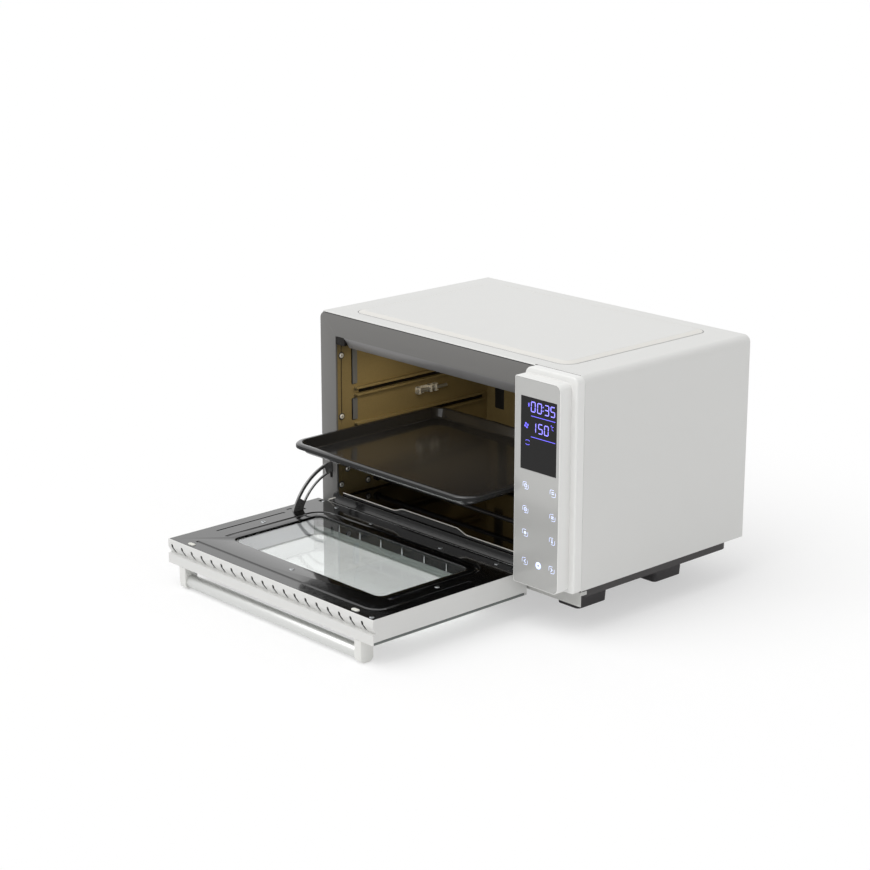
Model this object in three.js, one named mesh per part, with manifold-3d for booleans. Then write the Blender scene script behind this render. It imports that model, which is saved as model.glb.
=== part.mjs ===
// Countertop mini oven, drawn with its drop-down door open and its baking tray partly out.
// Millimetres, +Z up. x = 0 is the cabinet's left side, y = 0 the face of the front frame and
// z = 0 the table, until the last lines centre the whole oven on its footprint.
import * as THREE from 'three';
import { mergeVertices } from 'three/addons/utils/BufferGeometryUtils.js';
import Module from 'manifold-3d';

const wasm = await Module();
wasm.setup();

// Fits and drawing quality
const fitGap = 0.3;
const cutOverrun = 4;
const weldTolerance = 0.0001;
const cornerSteps = 5;
const roundSides = 20;
const smallSides = 12;

// Cabinet wrapper: two sides and a top in one sheet
const cabinetWidth = 520;
const cabinetDepth = 326;
const cabinetTop = 350;
const coverLift = 2;
const coverWall = 0.8;
const coverCornerRadius = 10;
const coverNoseRadius = 2.4;

// Raised panel pressed into the top
const plateauRise = 3;
const plateauBevel = 10;
const plateauRadius = 18;
const plateauLeftMargin = 45;
const plateauRightMargin = 54;
const plateauFrontMargin = 24;

// Front frame with the oven mouth
const frameTopDrop = 3;
const frameThickness = 3;
const frameCornerRadius = 9;
const jambWidth = 33;
const rightJambLap = 22;
const sillHeight = 18;
const headerHeight = 31;
const mouthTopRadius = 3;
const mouthBottomRadius = 6;
const lipHeight = 10;
const lipDepth = 8;
const lipWall = 2;
const beadDiameter = 3;

// Skirt below the frame
const skirtTop = 60;
const skirtBottom = 40;
const skirtThickness = 1.5;
const skirtReturnDepth = 12;
const skirtReturnHeight = 5;

// Base pan: a flange inside the wrapper, a rim and a deeper well that carries the feet
const panWall = 1;
const panInset = 14;
const panRimBottom = 45;
const wellInset = 45;
const wellFrontInset = 40;
const wellBackInset = 36;
const wellBottom = 34;
const wellRadius = 12;

// Feet
const footWidth = 44;
const footLength = 60;
const footSideInset = 68;
const footFrontInset = 68;
const footBackInset = 44;
const footRadius = 6;
const footTaper = 2;

// Back panel
const backThickness = 0.8;
const backRecess = 1;
const ventSlotWidth = 3.2;
const ventSlotLength = 34;
const ventPitch = 9;
const ventColumns = 14;
const ventGroupLeft = 60;
const lowerVentHeight = 110;
const upperVentDrop = 60;

// Oven cavity of folded sheet
const linerWall = 0.8;
const cavityRearSpace = 24;
const cavityMargin = 2;
const guideDepth = 7;
const guideRibHeight = 3;
const guideGroove = 7;
const guideFront = 34;
const guideBackMargin = 10;
const trayGuideShare = 0.43;
const guideSpacingShare = 0.23;
const bandFront = 29;
const bandWidth = 11;
const bandGuideGap = 10;
const bandRoofGap = 14;
const seamDistance = 9;
const seamWidth = 1;
const seamDepth = 0.4;
const rearSlotLeft = 50;
const rearSlotWidth = 20;
const rearSlotRise = 81;
const rearSlotDrop = 12;

// Heating rods
const rodDiameter = 6.5;
const rodCollarDiameter = 12;
const rodCollarLength = 5;
const rodFrontDistance = 75;
const rodRearFromBack = 77;
const rodRiseAboveFloor = 16;
const rodDropBelowRoof = 18;

// Thermostat on the left wall
const clipFront = 152;
const clipLength = 42;
const clipHeight = 12;
const clipSheet = 1.2;
const clipReach = 11;
const clipEarGap = 14;
const bulbDiameter = 5;
const bulbLength = 60;

// Convection fan behind the right cavity wall
const fanDistance = 155;
const fanDiameter = 100;
const fanWidth = 14;
const fanHubDiameter = 20;
const fanBladeCount = 8;
const fanBladeThickness = 1.4;
const fanClearance = 4;
const fanShellWall = 1.2;
const fanShaftDiameter = 5;
const motorDiameter = 44;
const motorLength = 38;
const grilleHoleDiameter = 6;
const grillePitch = 9;

// Crumb tray on the cavity floor
const crumbSideGap = 7;
const crumbFront = 5;
const crumbBackGap = 13;
const crumbSheet = 0.8;
const crumbRim = 2.4;
const crumbLipHeight = 6;
const fingerTabHeight = 12;
const fingerTabInset = 139;
const fingerTabWidth = 106;
const fingerTabSlope = 24;

// Baking tray, drawn out by trayTravel
const trayTravel = 100;
const trayFrontWhenIn = 8;
const trayBackGap = 4;
const traySideGap = 2;
const trayRimWidth = 8;
const trayDepth = 16;
const trayFlare = 5;
const traySheet = 1;
const trayRadius = 28;
const trayRimAcrossShares = [0, 0, 0.1, 0.32, 0.65];
const trayRimRiseShares = [0, 0.45, 0.72, 0.92, 1];

// Control column at the right of the front: a base tier and a front tier
const podWidth = 94;
const podBaseDepth = 14;
const podTierDepth = 20;
const podTierLeftInset = 3;
const podTierRightInset = 10;
const podTierTopInset = 8;
const podTierBottomInset = 1.5;
const podWall = 2.5;
const podEdgeRadius = 4;
const podTierEdgeRadius = 1.2;
const podCornerRadii = [4, 6, 9, 12];
const podTierCornerRadii = [3, 9, 9, 3];
const glassRim = 1.2;
const glassThickness = 2;
const glassCornerRadii = [2, 8, 8, 2];
const displayInset = 14.5;
const displayWidth = 63.5;
const displayTopInset = 33;
const displayHeight = 97;
const boardThickness = 1.6;
const boardSetback = 8;
const boardMargin = 4;
const bossDiameter = 6;
const moduleThickness = 6;

// Relay board on stand-offs at the back panel
const relayInset = 16;
const relayWidth = 84;
const relayBottom = 150;
const relayHeight = 100;
const relayStandoff = 16;
const relayBlockSize = 18;

// Cord inlet in the back panel
const inletInset = 50;
const inletHeight = 100;
const inletFlangeDiameter = 24;
const inletNeckDiameter = 14;
const inletBore = 8;
const inletFlangeLength = 4;
const inletNeckLength = 10;

// Door, drawn open and level
const doorOverhang = 6;
const doorPodGap = 2;
const doorFaceHeight = 66.8;
const doorThickness = 34.6;
const doorHeight = 271.4;
const doorFrontGap = 3;
const doorWall = 1.8;
const doorSkin = 1.2;
const doorRimWall = 1.2;
const doorRimDrop = 0.3;
const doorPanelThickness = 1.5;
const doorClosedGap = 1.3;
const hingeDrop = 4.8;
const doorSeamHeight = 3;
const doorSeamDepth = 0.8;

// Door window
const windowLeftInset = 63;
const windowRightInset = 57;
const windowStripInset = 61.4;
const windowHingeInset = 51;
const windowRadius = 12;
const glazingMargin = 7;
const innerPaneThickness = 4;
const outerPaneThickness = 3.7;
const windowBeadMargin = 13;
const windowBeadWidth = 5;
const edgeGrooveLeft = 21;
const edgeGrooveRight = 18;
const edgeGrooveFront = 20;
const edgeGrooveRear = 80;
const edgeGrooveRadius = 22;
const edgeGrooveWidth = 4;
const pressedDepth = 0.7;

// Vent strip along the door's free edge
const stripDepth = 12;
const stripWall = 1.5;
const stripStepHeight = 14.5;
const stripHollow = 4.5;
const stripSlotPitch = 22.2;
const stripSlotWidth = 2.2;
const stripSlotLength = 9;
const stripSlotSlant = 4;
const stripSlotRightMargin = 22;
const stripSlotLeftMargin = 8;

// Handle
const handleDiameter = 19;
const handleWall = 1.2;
const handleDrop = 11.5;
const handleInset = 10.5;
const handleEndMargin = 24;
const handleBracketThickness = 7;
const handleBracketWidth = 21;
const handleBracketLap = 0.8;
const handleSpigotLength = 6;

// Hinge
const hingePinDiameter = 3.6;
const hingePinLength = 17;
const hingeLeftAcross = 10;
const hingeRightMargin = 16;
const hingePlateThickness = 3;
const hingePlateHeight = 8;
const hingePlateReach = 4;
const hingeNotchWidth = 9;
const hingeNotchDepth = 11.5;
const hingeNotchHeight = 12.8;
const knuckleWidth = 5.5;
const knuckleDepth = 9;
const knuckleHeight = 9.5;

// Stay arm: a slotted curved plate that turns with the door and passes through a slot in the frame.
// Its distance from the hinge is least at armFlareMiddle and grows by armFlare towards both ends.
const armAcross = 20;
const armThickness = 3;
const armInnerRadius = 43;
const armOuterRadius = 60;
const armFlare = 5.6;
const armFlareMiddle = 130;
const armFlareSpan = 41;
const armSlotInner = 3.5;
const armSlotOuter = 10.5;
const armFootAngle = 184;
const armEndAngle = 78;
const armCutStart = 96;
const armCutEnd = 157;
const armArcSteps = 24;
const armFootWidth = 12;
const armFootThickness = 2.5;
const armStopWidth = 7;
const armStopLength = 2;
const armStopHeight = 7;
const frameSlotWidth = 6;
const frameSlotClearance = 1.5;

// Small parts on the door's inner panel
const bumperSideInset = 43.3;
const bumperFromEdge = 8.4;
const bumperLength = 12;
const bumperWidth = 5;
const bumperHeight = 1;
const screwHeadDiameter = 7;
const screwHeadHeight = 0.7;
const screwShankDiameter = 3;
const screwShankLength = 1.6;
const screwEdgeMargin = 10;
const screwSideInset = 34;
const screwRearInset = 23;
const screwCornerInset = 12;
const screwFrontInset = 45;

// Places that follow from the sizes above
const podLeft = cabinetWidth - podWidth;
const doorRight = podLeft - doorPodGap;
const frameTop = cabinetTop - frameTopDrop;
const coverBottom = skirtTop + coverLift;
const mouthLeft = jambWidth;
const mouthRight = doorRight - rightJambLap;
const mouthBottom = skirtTop + sillHeight;
const creaseHeight = frameTop - headerHeight;
const mouthTop = creaseHeight - lipHeight;
const frameBottom = skirtTop + fitGap;
const cavityDepth = cabinetDepth - cavityRearSpace;
const cavityFloor = mouthBottom - cavityMargin;
const cavityRoof = mouthTop + cavityMargin;
const cavityHeight = cavityRoof - cavityFloor;
const guideSpacing = guideSpacingShare * cavityHeight;
const trayGuideHeight = cavityFloor + trayGuideShare * cavityHeight;
const clipBottom = trayGuideHeight + guideSpacing / 2;
const wallsFront = frameThickness + fitGap;
const backFace = cabinetDepth - backRecess;
const backInner = backFace - backThickness;
const doorLeft = -doorOverhang;
const doorWidth = doorRight - doorLeft;
const doorFar = -doorFrontGap;
const doorNear = doorFar - doorHeight;
const doorUnder = doorFaceHeight - doorThickness;
const windowLeft = doorLeft + windowLeftInset;
const windowRight = doorRight - windowRightInset;
const windowNear = doorNear + windowStripInset;
const windowFar = doorFar - windowHingeInset;
const doorSeat = doorFaceHeight - doorPanelThickness - fitGap;
const doorRimTop = doorFaceHeight - doorRimDrop;
const stripBack = doorNear + stripDepth;
const hingeY = -(doorClosedGap + hingeDrop);
const hingeZ = doorFaceHeight - hingeDrop;
const podTop = cabinetTop;
const podBottom = skirtTop;
const podBack = -fitGap;
const podBaseFront = -podBaseDepth;
const podFront = podBaseFront - podTierDepth;
const fanHeight = trayGuideHeight + guideSpacing / 2;
const trayFront = trayFrontWhenIn - trayTravel;
const trayLength = cavityDepth - trayFrontWhenIn - trayBackGap;
const trayRimHeight = guideGroove - 2 * fitGap;
const trayRimTop = trayGuideHeight + trayRimHeight / 2;
const displayLeft = podLeft + displayInset;
const displayBottom = podTop - displayTopInset - displayHeight;

// Finishes
const paint = (color, roughness, metalness) => (
  new THREE.MeshStandardMaterial({ color, roughness, metalness })
);
const silverPaint = () => paint('#d9d9d7', 0.5, 0.1);
const framePaint = () => paint('#777674', 0.5, 0.3);
const skirtPaint = () => paint('#b9b9b6', 0.5, 0.2);
const darkSteel = () => paint('#4a4848', 0.6, 0.6);
const rubber = () => paint('#2c2b2b', 0.9, 0);
const cavityCoating = () => paint('#6e5f3a', 0.5, 0.5);
const heaterSheath = () => paint('#3d3b3a', 0.6, 0.7);
const zincSteel = () => paint('#b8bbbd', 0.35, 1);
const whitePlastic = () => paint('#e6e6e4', 0.3, 0);
const panelGlass = () => paint('#b6b6b4', 0.1, 0.4);
const blackGlass = () => paint('#1b1a1a', 0.1, 0);
const circuitBoard = () => paint('#2f5d3a', 0.6, 0);
const doorPaint = () => paint('#dcdcda', 0.4, 0.1);
const blackEnamel = () => paint('#141414', 0.15, 0);
const brushedSteel = () => paint('#c9cbcc', 0.3, 1);
const trayCoating = () => paint('#3a3b3e', 0.45, 0.5);
const blackPlastic = () => paint('#232323', 0.6, 0);
const paneGlass = () => new THREE.MeshStandardMaterial({
  color: '#dfe6e4', roughness: 0.05, metalness: 0, transparent: true, opacity: 0.35,
});

// Turns a closed three.js geometry into a solid that can be joined and cut.
function solid(geometry) {
  const bare = geometry.clone();
  bare.deleteAttribute('normal');
  bare.deleteAttribute('uv');
  const merged = mergeVertices(bare, weldTolerance);
  return new wasm.Manifold(new wasm.Mesh({
    numProp: 3,
    vertProperties: new Float32Array(merged.attributes.position.array),
    triVerts: new Uint32Array(merged.index.array),
  }));
}

function joined(...pieces) {
  return pieces.reduce((whole, piece) => whole.add(piece));
}

function cut(whole, ...tools) {
  return tools.reduce((rest, tool) => rest.subtract(tool), whole);
}

// A box between two values on each axis.
function block([x0, x1], [y0, y1], [z0, z1]) {
  const geometry = new THREE.BoxGeometry(x1 - x0, y1 - y0, z1 - z0);
  geometry.translate((x0 + x1) / 2, (y0 + y1) / 2, (z0 + z1) / 2);
  return solid(geometry);
}

// Corner points of a rectangle, each corner rounded by its own radius:
// lower left, lower right, upper right, upper left.
function roundedOutline(left, bottom, right, top, radii) {
  const [lowerLeft, lowerRight, upperRight, upperLeft] = Array.isArray(radii) ? radii : Array(4).fill(radii);
  const corners = [
    { x: left + lowerLeft, y: bottom + lowerLeft, radius: lowerLeft, turn: 2 },
    { x: right - lowerRight, y: bottom + lowerRight, radius: lowerRight, turn: 3 },
    { x: right - upperRight, y: top - upperRight, radius: upperRight, turn: 0 },
    { x: left + upperLeft, y: top - upperLeft, radius: upperLeft, turn: 1 },
  ];
  const points = [];
  for (const { x, y, radius, turn } of corners) {
    const steps = radius > 0 ? cornerSteps : 0;
    for (let step = 0; step <= steps; step += 1) {
      const angle = (Math.PI / 2) * (turn + (steps > 0 ? step / steps : 0));
      points.push(new THREE.Vector2(x + radius * Math.cos(angle), y + radius * Math.sin(angle)));
    }
  }
  return points;
}

// An upright slot with pointed ends.
function slotOutline(left, bottom, right, top) {
  const middle = (left + right) / 2;
  const end = (right - left) / 2;
  return [
    new THREE.Vector2(left, bottom + end),
    new THREE.Vector2(middle, bottom),
    new THREE.Vector2(right, bottom + end),
    new THREE.Vector2(right, top - end),
    new THREE.Vector2(middle, top),
    new THREE.Vector2(left, top - end),
  ];
}

// A regular outline of a circle.
function circleOutline(x, y, radius, sides) {
  return Array.from({ length: sides }, (_, side) => {
    const angle = (2 * Math.PI * side) / sides;
    return new THREE.Vector2(x + radius * Math.cos(angle), y + radius * Math.sin(angle));
  });
}

function extrusion(points, depth, holes) {
  const shape = new THREE.Shape(points);
  for (const hole of holes) {
    shape.holes.push(new THREE.Path(hole));
  }
  return new THREE.ExtrudeGeometry(shape, { depth, bevelEnabled: false });
}

// A plate whose outline lies in x and y.
function flatPlate(points, bottom, top, holes = []) {
  const geometry = extrusion(points, top - bottom, holes);
  geometry.translate(0, 0, bottom);
  return solid(geometry);
}

// A plate whose outline lies in x and z, between two depths.
function frontPlate(points, front, back, holes = []) {
  const geometry = extrusion(points, back - front, holes);
  geometry.rotateX(Math.PI / 2);
  geometry.translate(0, back, 0);
  return solid(geometry);
}

// A plate whose outline lies in y and z, between two places across.
function sidePlate(points, left, right, holes = []) {
  const geometry = extrusion(points, right - left, holes);
  geometry.rotateX(Math.PI / 2);
  geometry.rotateZ(Math.PI / 2);
  geometry.translate(left, 0, 0);
  return solid(geometry);
}

// A solid through outlines of the same point count, each at its own height.
function loft(sections) {
  const count = sections[0].points.length;
  const positions = sections.flatMap(({ points, z }) => points.flatMap((point) => [point.x, point.y, z]));
  const index = [];
  for (let ring = 0; ring < sections.length - 1; ring += 1) {
    for (let side = 0; side < count; side += 1) {
      const next = (side + 1) % count;
      const low = ring * count;
      const high = low + count;
      index.push(low + side, low + next, high + next, low + side, high + next, high + side);
    }
  }
  const last = (sections.length - 1) * count;
  for (const [a, b, c] of THREE.ShapeUtils.triangulateShape(sections[0].points, [])) {
    index.push(c, b, a);
  }
  for (const [a, b, c] of THREE.ShapeUtils.triangulateShape(sections[sections.length - 1].points, [])) {
    index.push(last + a, last + b, last + c);
  }
  const geometry = new THREE.BufferGeometry();
  geometry.setAttribute('position', new THREE.Float32BufferAttribute(positions, 3));
  geometry.setIndex(index);
  return solid(geometry);
}

// Cylinders along each axis, from one end to the other.
function rodX(left, right, y, z, diameter, sides = roundSides) {
  const geometry = new THREE.CylinderGeometry(diameter / 2, diameter / 2, right - left, sides);
  geometry.rotateZ(Math.PI / 2);
  geometry.translate((left + right) / 2, y, z);
  return solid(geometry);
}

function rodY(front, back, x, z, diameter, sides = roundSides) {
  const geometry = new THREE.CylinderGeometry(diameter / 2, diameter / 2, back - front, sides);
  geometry.translate(x, (front + back) / 2, z);
  return solid(geometry);
}

function rodZ(bottom, top, x, y, diameter, sides = smallSides) {
  const geometry = new THREE.CylinderGeometry(diameter / 2, diameter / 2, top - bottom, sides);
  geometry.rotateX(Math.PI / 2);
  geometry.translate(x, y, (bottom + top) / 2);
  return solid(geometry);
}

// A front plate whose front edge is rounded all round.
function roundedFrontPlate([left, bottom, right, top], radii, front, back, edge) {
  const inner = radii.map((radius) => Math.max(radius - edge, 0));
  const shape = new THREE.Shape(roundedOutline(left + edge, bottom + edge, right - edge, top - edge, inner));
  const geometry = new THREE.ExtrudeGeometry(shape, {
    depth: back - front, bevelEnabled: true, bevelThickness: edge, bevelSize: edge, bevelSegments: 3,
  });
  geometry.rotateX(Math.PI / 2);
  geometry.translate(0, back + edge, 0);
  const behind = block(
    [left - cutOverrun, right + cutOverrun],
    [back, back + 2 * edge + cutOverrun],
    [bottom - cutOverrun, top + cutOverrun],
  );
  return cut(solid(geometry), behind);
}

const oven = new THREE.Group();

function place(name, shape, material) {
  const { vertProperties, triVerts } = shape.getMesh();
  const geometry = new THREE.BufferGeometry();
  geometry.setAttribute('position', new THREE.BufferAttribute(vertProperties, 3));
  geometry.setIndex(new THREE.BufferAttribute(triVerts, 1));
  geometry.computeVertexNormals();
  material.flatShading = true;
  const mesh = new THREE.Mesh(geometry, material);
  mesh.name = name;
  oven.add(mesh);
}

// Outline of the raised panel at a given distance inside its outer edge.
function plateauOutline(inset) {
  return roundedOutline(
    plateauLeftMargin + inset,
    plateauFrontMargin + inset,
    cabinetWidth - plateauRightMargin - inset,
    cabinetDepth - plateauFrontMargin - inset,
    plateauRadius - inset / 2,
  );
}

function plateauSolid(drop) {
  return loft([
    { points: plateauOutline(0), z: cabinetTop - coverWall / 2 - drop },
    { points: plateauOutline(0), z: cabinetTop - drop },
    { points: plateauOutline(plateauBevel), z: cabinetTop + plateauRise - drop },
  ]);
}

// The wrapper: its front edge on top rolls over above the frame.
function cabinetCover() {
  const outerRadii = [0, 0, coverCornerRadius, coverCornerRadius];
  const innerRadii = outerRadii.map((radius) => Math.max(radius - coverWall, 0));
  const outline = roundedOutline(0, coverBottom, cabinetWidth, cabinetTop, outerRadii);
  const outer = frontPlate(outline, 0, cabinetDepth);
  const inner = frontPlate(
    roundedOutline(
      coverWall, coverBottom - cutOverrun, cabinetWidth - coverWall, cabinetTop - coverWall, innerRadii,
    ),
    -cutOverrun,
    cabinetDepth + cutOverrun,
  );
  const frameRoom = frontPlate(
    roundedOutline(
      -cutOverrun, coverBottom - cutOverrun, cabinetWidth - coverWall, frameTop + fitGap,
      [0, 0, coverCornerRadius - coverWall, 0],
    ),
    -cutOverrun,
    frameThickness + fitGap,
  );
  const nosePoints = [
    new THREE.Vector2(-cutOverrun, cabinetTop - coverNoseRadius),
    new THREE.Vector2(0, cabinetTop - coverNoseRadius),
  ];
  for (let step = 1; step <= cornerSteps; step += 1) {
    const angle = (Math.PI / 2) * (1 - step / cornerSteps);
    nosePoints.push(new THREE.Vector2(
      coverNoseRadius - coverNoseRadius * Math.sin(angle),
      cabinetTop - coverNoseRadius + coverNoseRadius * Math.cos(angle),
    ));
  }
  nosePoints.push(new THREE.Vector2(coverNoseRadius, cabinetTop + cutOverrun));
  nosePoints.push(new THREE.Vector2(-cutOverrun, cabinetTop + cutOverrun));
  const noseCut = sidePlate(nosePoints, -cutOverrun, cabinetWidth + cutOverrun);
  const noseBar = block(
    [coverCornerRadius, cabinetWidth - coverCornerRadius],
    [0, frameThickness + fitGap + coverWall],
    [frameTop + fitGap, cabinetTop - coverWall / 2],
  );
  const shell = cut(joined(outer, plateauSolid(0)), inner, plateauSolid(coverWall), frameRoom);
  return cut(joined(shell, noseBar), noseCut);
}

function frontFrame() {
  const outline = roundedOutline(
    0, frameBottom, cabinetWidth - coverWall - fitGap, frameTop,
    [0, 0, coverCornerRadius - coverWall - fitGap, frameCornerRadius],
  );
  const mouth = roundedOutline(
    mouthLeft, mouthBottom, mouthRight, creaseHeight,
    [mouthBottomRadius, mouthBottomRadius, mouthTopRadius, mouthTopRadius],
  );
  const plate = frontPlate(outline, 0, frameThickness, [mouth]);
  const lip = sidePlate([
    new THREE.Vector2(0, creaseHeight),
    new THREE.Vector2(lipDepth, mouthTop),
    new THREE.Vector2(lipDepth + lipWall, mouthTop),
    new THREE.Vector2(lipDepth + lipWall, mouthTop + lipWall),
    new THREE.Vector2(frameThickness, creaseHeight + lipWall),
    new THREE.Vector2(0, creaseHeight + lipWall),
  ], mouthLeft + fitGap, mouthRight - fitGap);
  const bead = rodX(
    mouthLeft + mouthBottomRadius, mouthRight - mouthBottomRadius,
    beadDiameter / 2, mouthBottom - beadDiameter / 2 + fitGap, beadDiameter, smallSides,
  );
  const slot = block(
    [armAcross - frameSlotWidth / 2, armAcross + frameSlotWidth / 2],
    [-cutOverrun, frameThickness + cutOverrun],
    [armPassLow() - frameSlotClearance, armPassHigh() + frameSlotClearance],
  );
  return cut(joined(plate, lip, bead), slot);
}

// The lowest and highest point that the stay arm reaches where it passes the frame.
function armPassLow() {
  const reach = frameThickness - hingeY;
  return hingeZ + Math.sqrt(armInnerRadius ** 2 - reach ** 2);
}

function armPassHigh() {
  return hingeZ + Math.sqrt((armOuterRadius + armFlare) ** 2 - hingeY ** 2);
}

function frontSkirt() {
  const left = coverWall + fitGap;
  const right = cabinetWidth - coverWall - fitGap;
  const face = block([left, right], [0, skirtThickness], [skirtBottom, skirtTop]);
  const returns = [[left, left + skirtThickness], [right - skirtThickness, right]].map((across) => block(
    across, [0, skirtReturnDepth], [skirtTop - skirtReturnHeight, skirtTop],
  ));
  return joined(face, ...returns);
}

function basePan() {
  const flangeBottom = coverBottom + fitGap;
  const flangeTop = flangeBottom + panWall;
  const flange = block(
    [coverWall + fitGap, cabinetWidth - coverWall - fitGap],
    [frameThickness + fitGap, backInner - fitGap],
    [flangeBottom, flangeTop],
  );
  const rimOutline = (inset) => roundedOutline(
    panInset + inset, panInset + inset,
    cabinetWidth - panInset - inset, cabinetDepth - panInset - inset, wellRadius - inset,
  );
  const wellOutline = (inset) => roundedOutline(
    wellInset + inset, wellFrontInset + inset,
    cabinetWidth - wellInset - inset, cabinetDepth - wellBackInset - inset, wellRadius - inset,
  );
  const rim = flatPlate(rimOutline(0), panRimBottom, flangeTop);
  const well = flatPlate(wellOutline(0), wellBottom, panRimBottom + panWall);
  const rimHollow = flatPlate(rimOutline(panWall), panRimBottom + panWall, flangeTop + cutOverrun);
  const wellHollow = flatPlate(wellOutline(panWall), wellBottom + panWall, flangeTop + cutOverrun);
  return cut(joined(flange, rim, well), rimHollow, wellHollow);
}

function foot(left, front) {
  const top = wellBottom - fitGap;
  const outline = (inset) => roundedOutline(
    left + inset, front + inset, left + footWidth - inset, front + footLength - inset, footRadius,
  );
  return loft([
    { points: outline(footTaper), z: 0 },
    { points: outline(footTaper / 2), z: top / 2 },
    { points: outline(0), z: top },
  ]);
}

function backPanel() {
  const left = coverWall + fitGap;
  const right = cabinetWidth - left;
  const bottom = coverBottom + fitGap;
  const top = cabinetTop - coverWall - fitGap;
  const cornerRadius = coverCornerRadius - coverWall;
  const ventRows = [lowerVentHeight, cabinetTop - upperVentDrop];
  const vents = ventRows.flatMap((height) => Array.from({ length: ventColumns }, (_, column) => {
    const x = ventGroupLeft + column * ventPitch;
    return slotOutline(x, height - ventSlotLength / 2, x + ventSlotWidth, height + ventSlotLength / 2);
  }));
  const inletHole = circleOutline(
    cabinetWidth - inletInset, inletHeight, inletNeckDiameter / 2 + fitGap, roundSides,
  );
  const plate = frontPlate(
    roundedOutline(left, bottom, right, top, [0, 0, cornerRadius, cornerRadius]),
    backInner, backFace, [...vents, inletHole],
  );
  return plate;
}

// Rack guides: two ribs with a groove between them, at three heights.
function guideRibs(inner, direction) {
  const heights = [-1, 0, 1].map((level) => trayGuideHeight + level * guideSpacing);
  const across = [inner, inner + direction * guideDepth].sort((a, b) => a - b);
  return heights.flatMap((height) => [-1, 1].map((side) => {
    const middle = height + side * (guideGroove + guideRibHeight) / 2;
    return sidePlate(
      roundedOutline(
        guideFront, middle - guideRibHeight / 2, cavityDepth - guideBackMargin, middle + guideRibHeight / 2,
        guideRibHeight / 3,
      ),
      across[0], across[1],
    );
  }));
}

// Upright recesses between the guides.
function wallBands() {
  return [-1, 0, 1].map((level) => {
    const bottom = trayGuideHeight + level * guideSpacing + bandGuideGap;
    const guideAbove = trayGuideHeight + (level + 1) * guideSpacing;
    const next = level < 1 ? guideAbove - bandGuideGap : cavityRoof - bandRoofGap;
    const radius = Math.min(bandWidth, next - bottom) / 4;
    return roundedOutline(bandFront, bottom, bandFront + bandWidth, next, radius);
  });
}

function sideWall(inner, direction, holes) {
  const outline = roundedOutline(
    wallsFront, cavityFloor - linerWall, cavityDepth - fitGap, cavityRoof + linerWall, 0,
  );
  const outer = inner - direction * linerWall;
  const across = [inner, outer].sort((a, b) => a - b);
  const plate = sidePlate(outline, across[0], across[1], holes);
  const seamAcross = [inner - direction * seamDepth, inner + direction * cutOverrun].sort((a, b) => a - b);
  const seam = block(
    seamAcross,
    [seamDistance - seamWidth / 2, seamDistance + seamWidth / 2],
    [cavityFloor - linerWall - cutOverrun, cavityRoof + linerWall + cutOverrun],
  );
  return joined(cut(plate, seam), ...guideRibs(inner, direction));
}

// Round holes in the right wall in front of the fan, in rings of six and twelve.
function grilleHoles() {
  const holes = [circleOutline(fanDistance, fanHeight, grilleHoleDiameter / 2, smallSides)];
  for (const ring of [1, 2]) {
    for (let hole = 0; hole < 6 * ring; hole += 1) {
      const angle = (Math.PI * hole) / (3 * ring);
      holes.push(circleOutline(
        fanDistance + ring * grillePitch * Math.cos(angle),
        fanHeight + ring * grillePitch * Math.sin(angle),
        grilleHoleDiameter / 2, smallSides,
      ));
    }
  }
  return holes;
}

function cavityRoofSheet() {
  return block(
    [mouthLeft + fitGap, mouthRight - fitGap],
    [lipDepth + lipWall + fitGap, cavityDepth - fitGap],
    [cavityRoof, cavityRoof + linerWall],
  );
}

function cavityFloorSheet() {
  return block(
    [mouthLeft + fitGap, mouthRight - fitGap],
    [wallsFront, cavityDepth - fitGap],
    [cavityFloor - linerWall, cavityFloor],
  );
}

function cavityBackSheet() {
  const slot = roundedOutline(
    rearSlotLeft, cavityFloor + rearSlotRise, rearSlotLeft + rearSlotWidth, cavityRoof - rearSlotDrop,
    rearSlotWidth / 8,
  );
  return frontPlate(
    roundedOutline(
      mouthLeft - linerWall, cavityFloor - linerWall, mouthRight + linerWall, cavityRoof + linerWall, 0,
    ),
    cavityDepth, cavityDepth + linerWall, [slot],
  );
}

function heatingRod(distance, height) {
  const left = mouthLeft + fitGap;
  const right = mouthRight - fitGap;
  return joined(
    rodX(left, right, distance, height, rodDiameter, smallSides),
    rodX(left, left + rodCollarLength, distance, height, rodCollarDiameter, smallSides),
    rodX(right - rodCollarLength, right, distance, height, rodCollarDiameter, smallSides),
  );
}

function clipEarPlaces() {
  const middle = clipFront + clipLength * 2 / 3;
  return [middle - clipEarGap / 2, middle + clipEarGap / 2];
}

function bulbAxis() {
  return { x: mouthLeft + fitGap + clipReach - bulbDiameter / 2 - clipSheet, z: clipBottom + clipHeight / 2 };
}

function thermostatClip() {
  const left = mouthLeft + fitGap;
  const plate = block(
    [left, left + clipSheet], [clipFront, clipFront + clipLength], [clipBottom, clipBottom + clipHeight],
  );
  const ears = clipEarPlaces().map((place) => block(
    [left, left + clipReach],
    [place - clipSheet / 2, place + clipSheet / 2],
    [clipBottom, clipBottom + clipHeight],
  ));
  const { x, z } = bulbAxis();
  const bore = rodY(
    clipFront - cutOverrun, clipFront + clipLength + cutOverrun, x, z, bulbDiameter + 2 * fitGap, smallSides,
  );
  return joined(plate, ...ears.map((ear) => cut(ear, bore)));
}

function thermostatBulb() {
  const { x, z } = bulbAxis();
  const [front, back] = clipEarPlaces();
  const middle = (front + back) / 2;
  return rodY(middle - bulbLength / 2, middle + bulbLength / 2, x, z, bulbDiameter, smallSides);
}

// The fan turns in a round shell that is open towards the cavity wall.
function fanShellSpan() {
  const left = mouthRight + linerWall + fitGap;
  return { left, right: left + fanWidth + 2 * fanClearance + fanShellWall };
}

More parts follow.
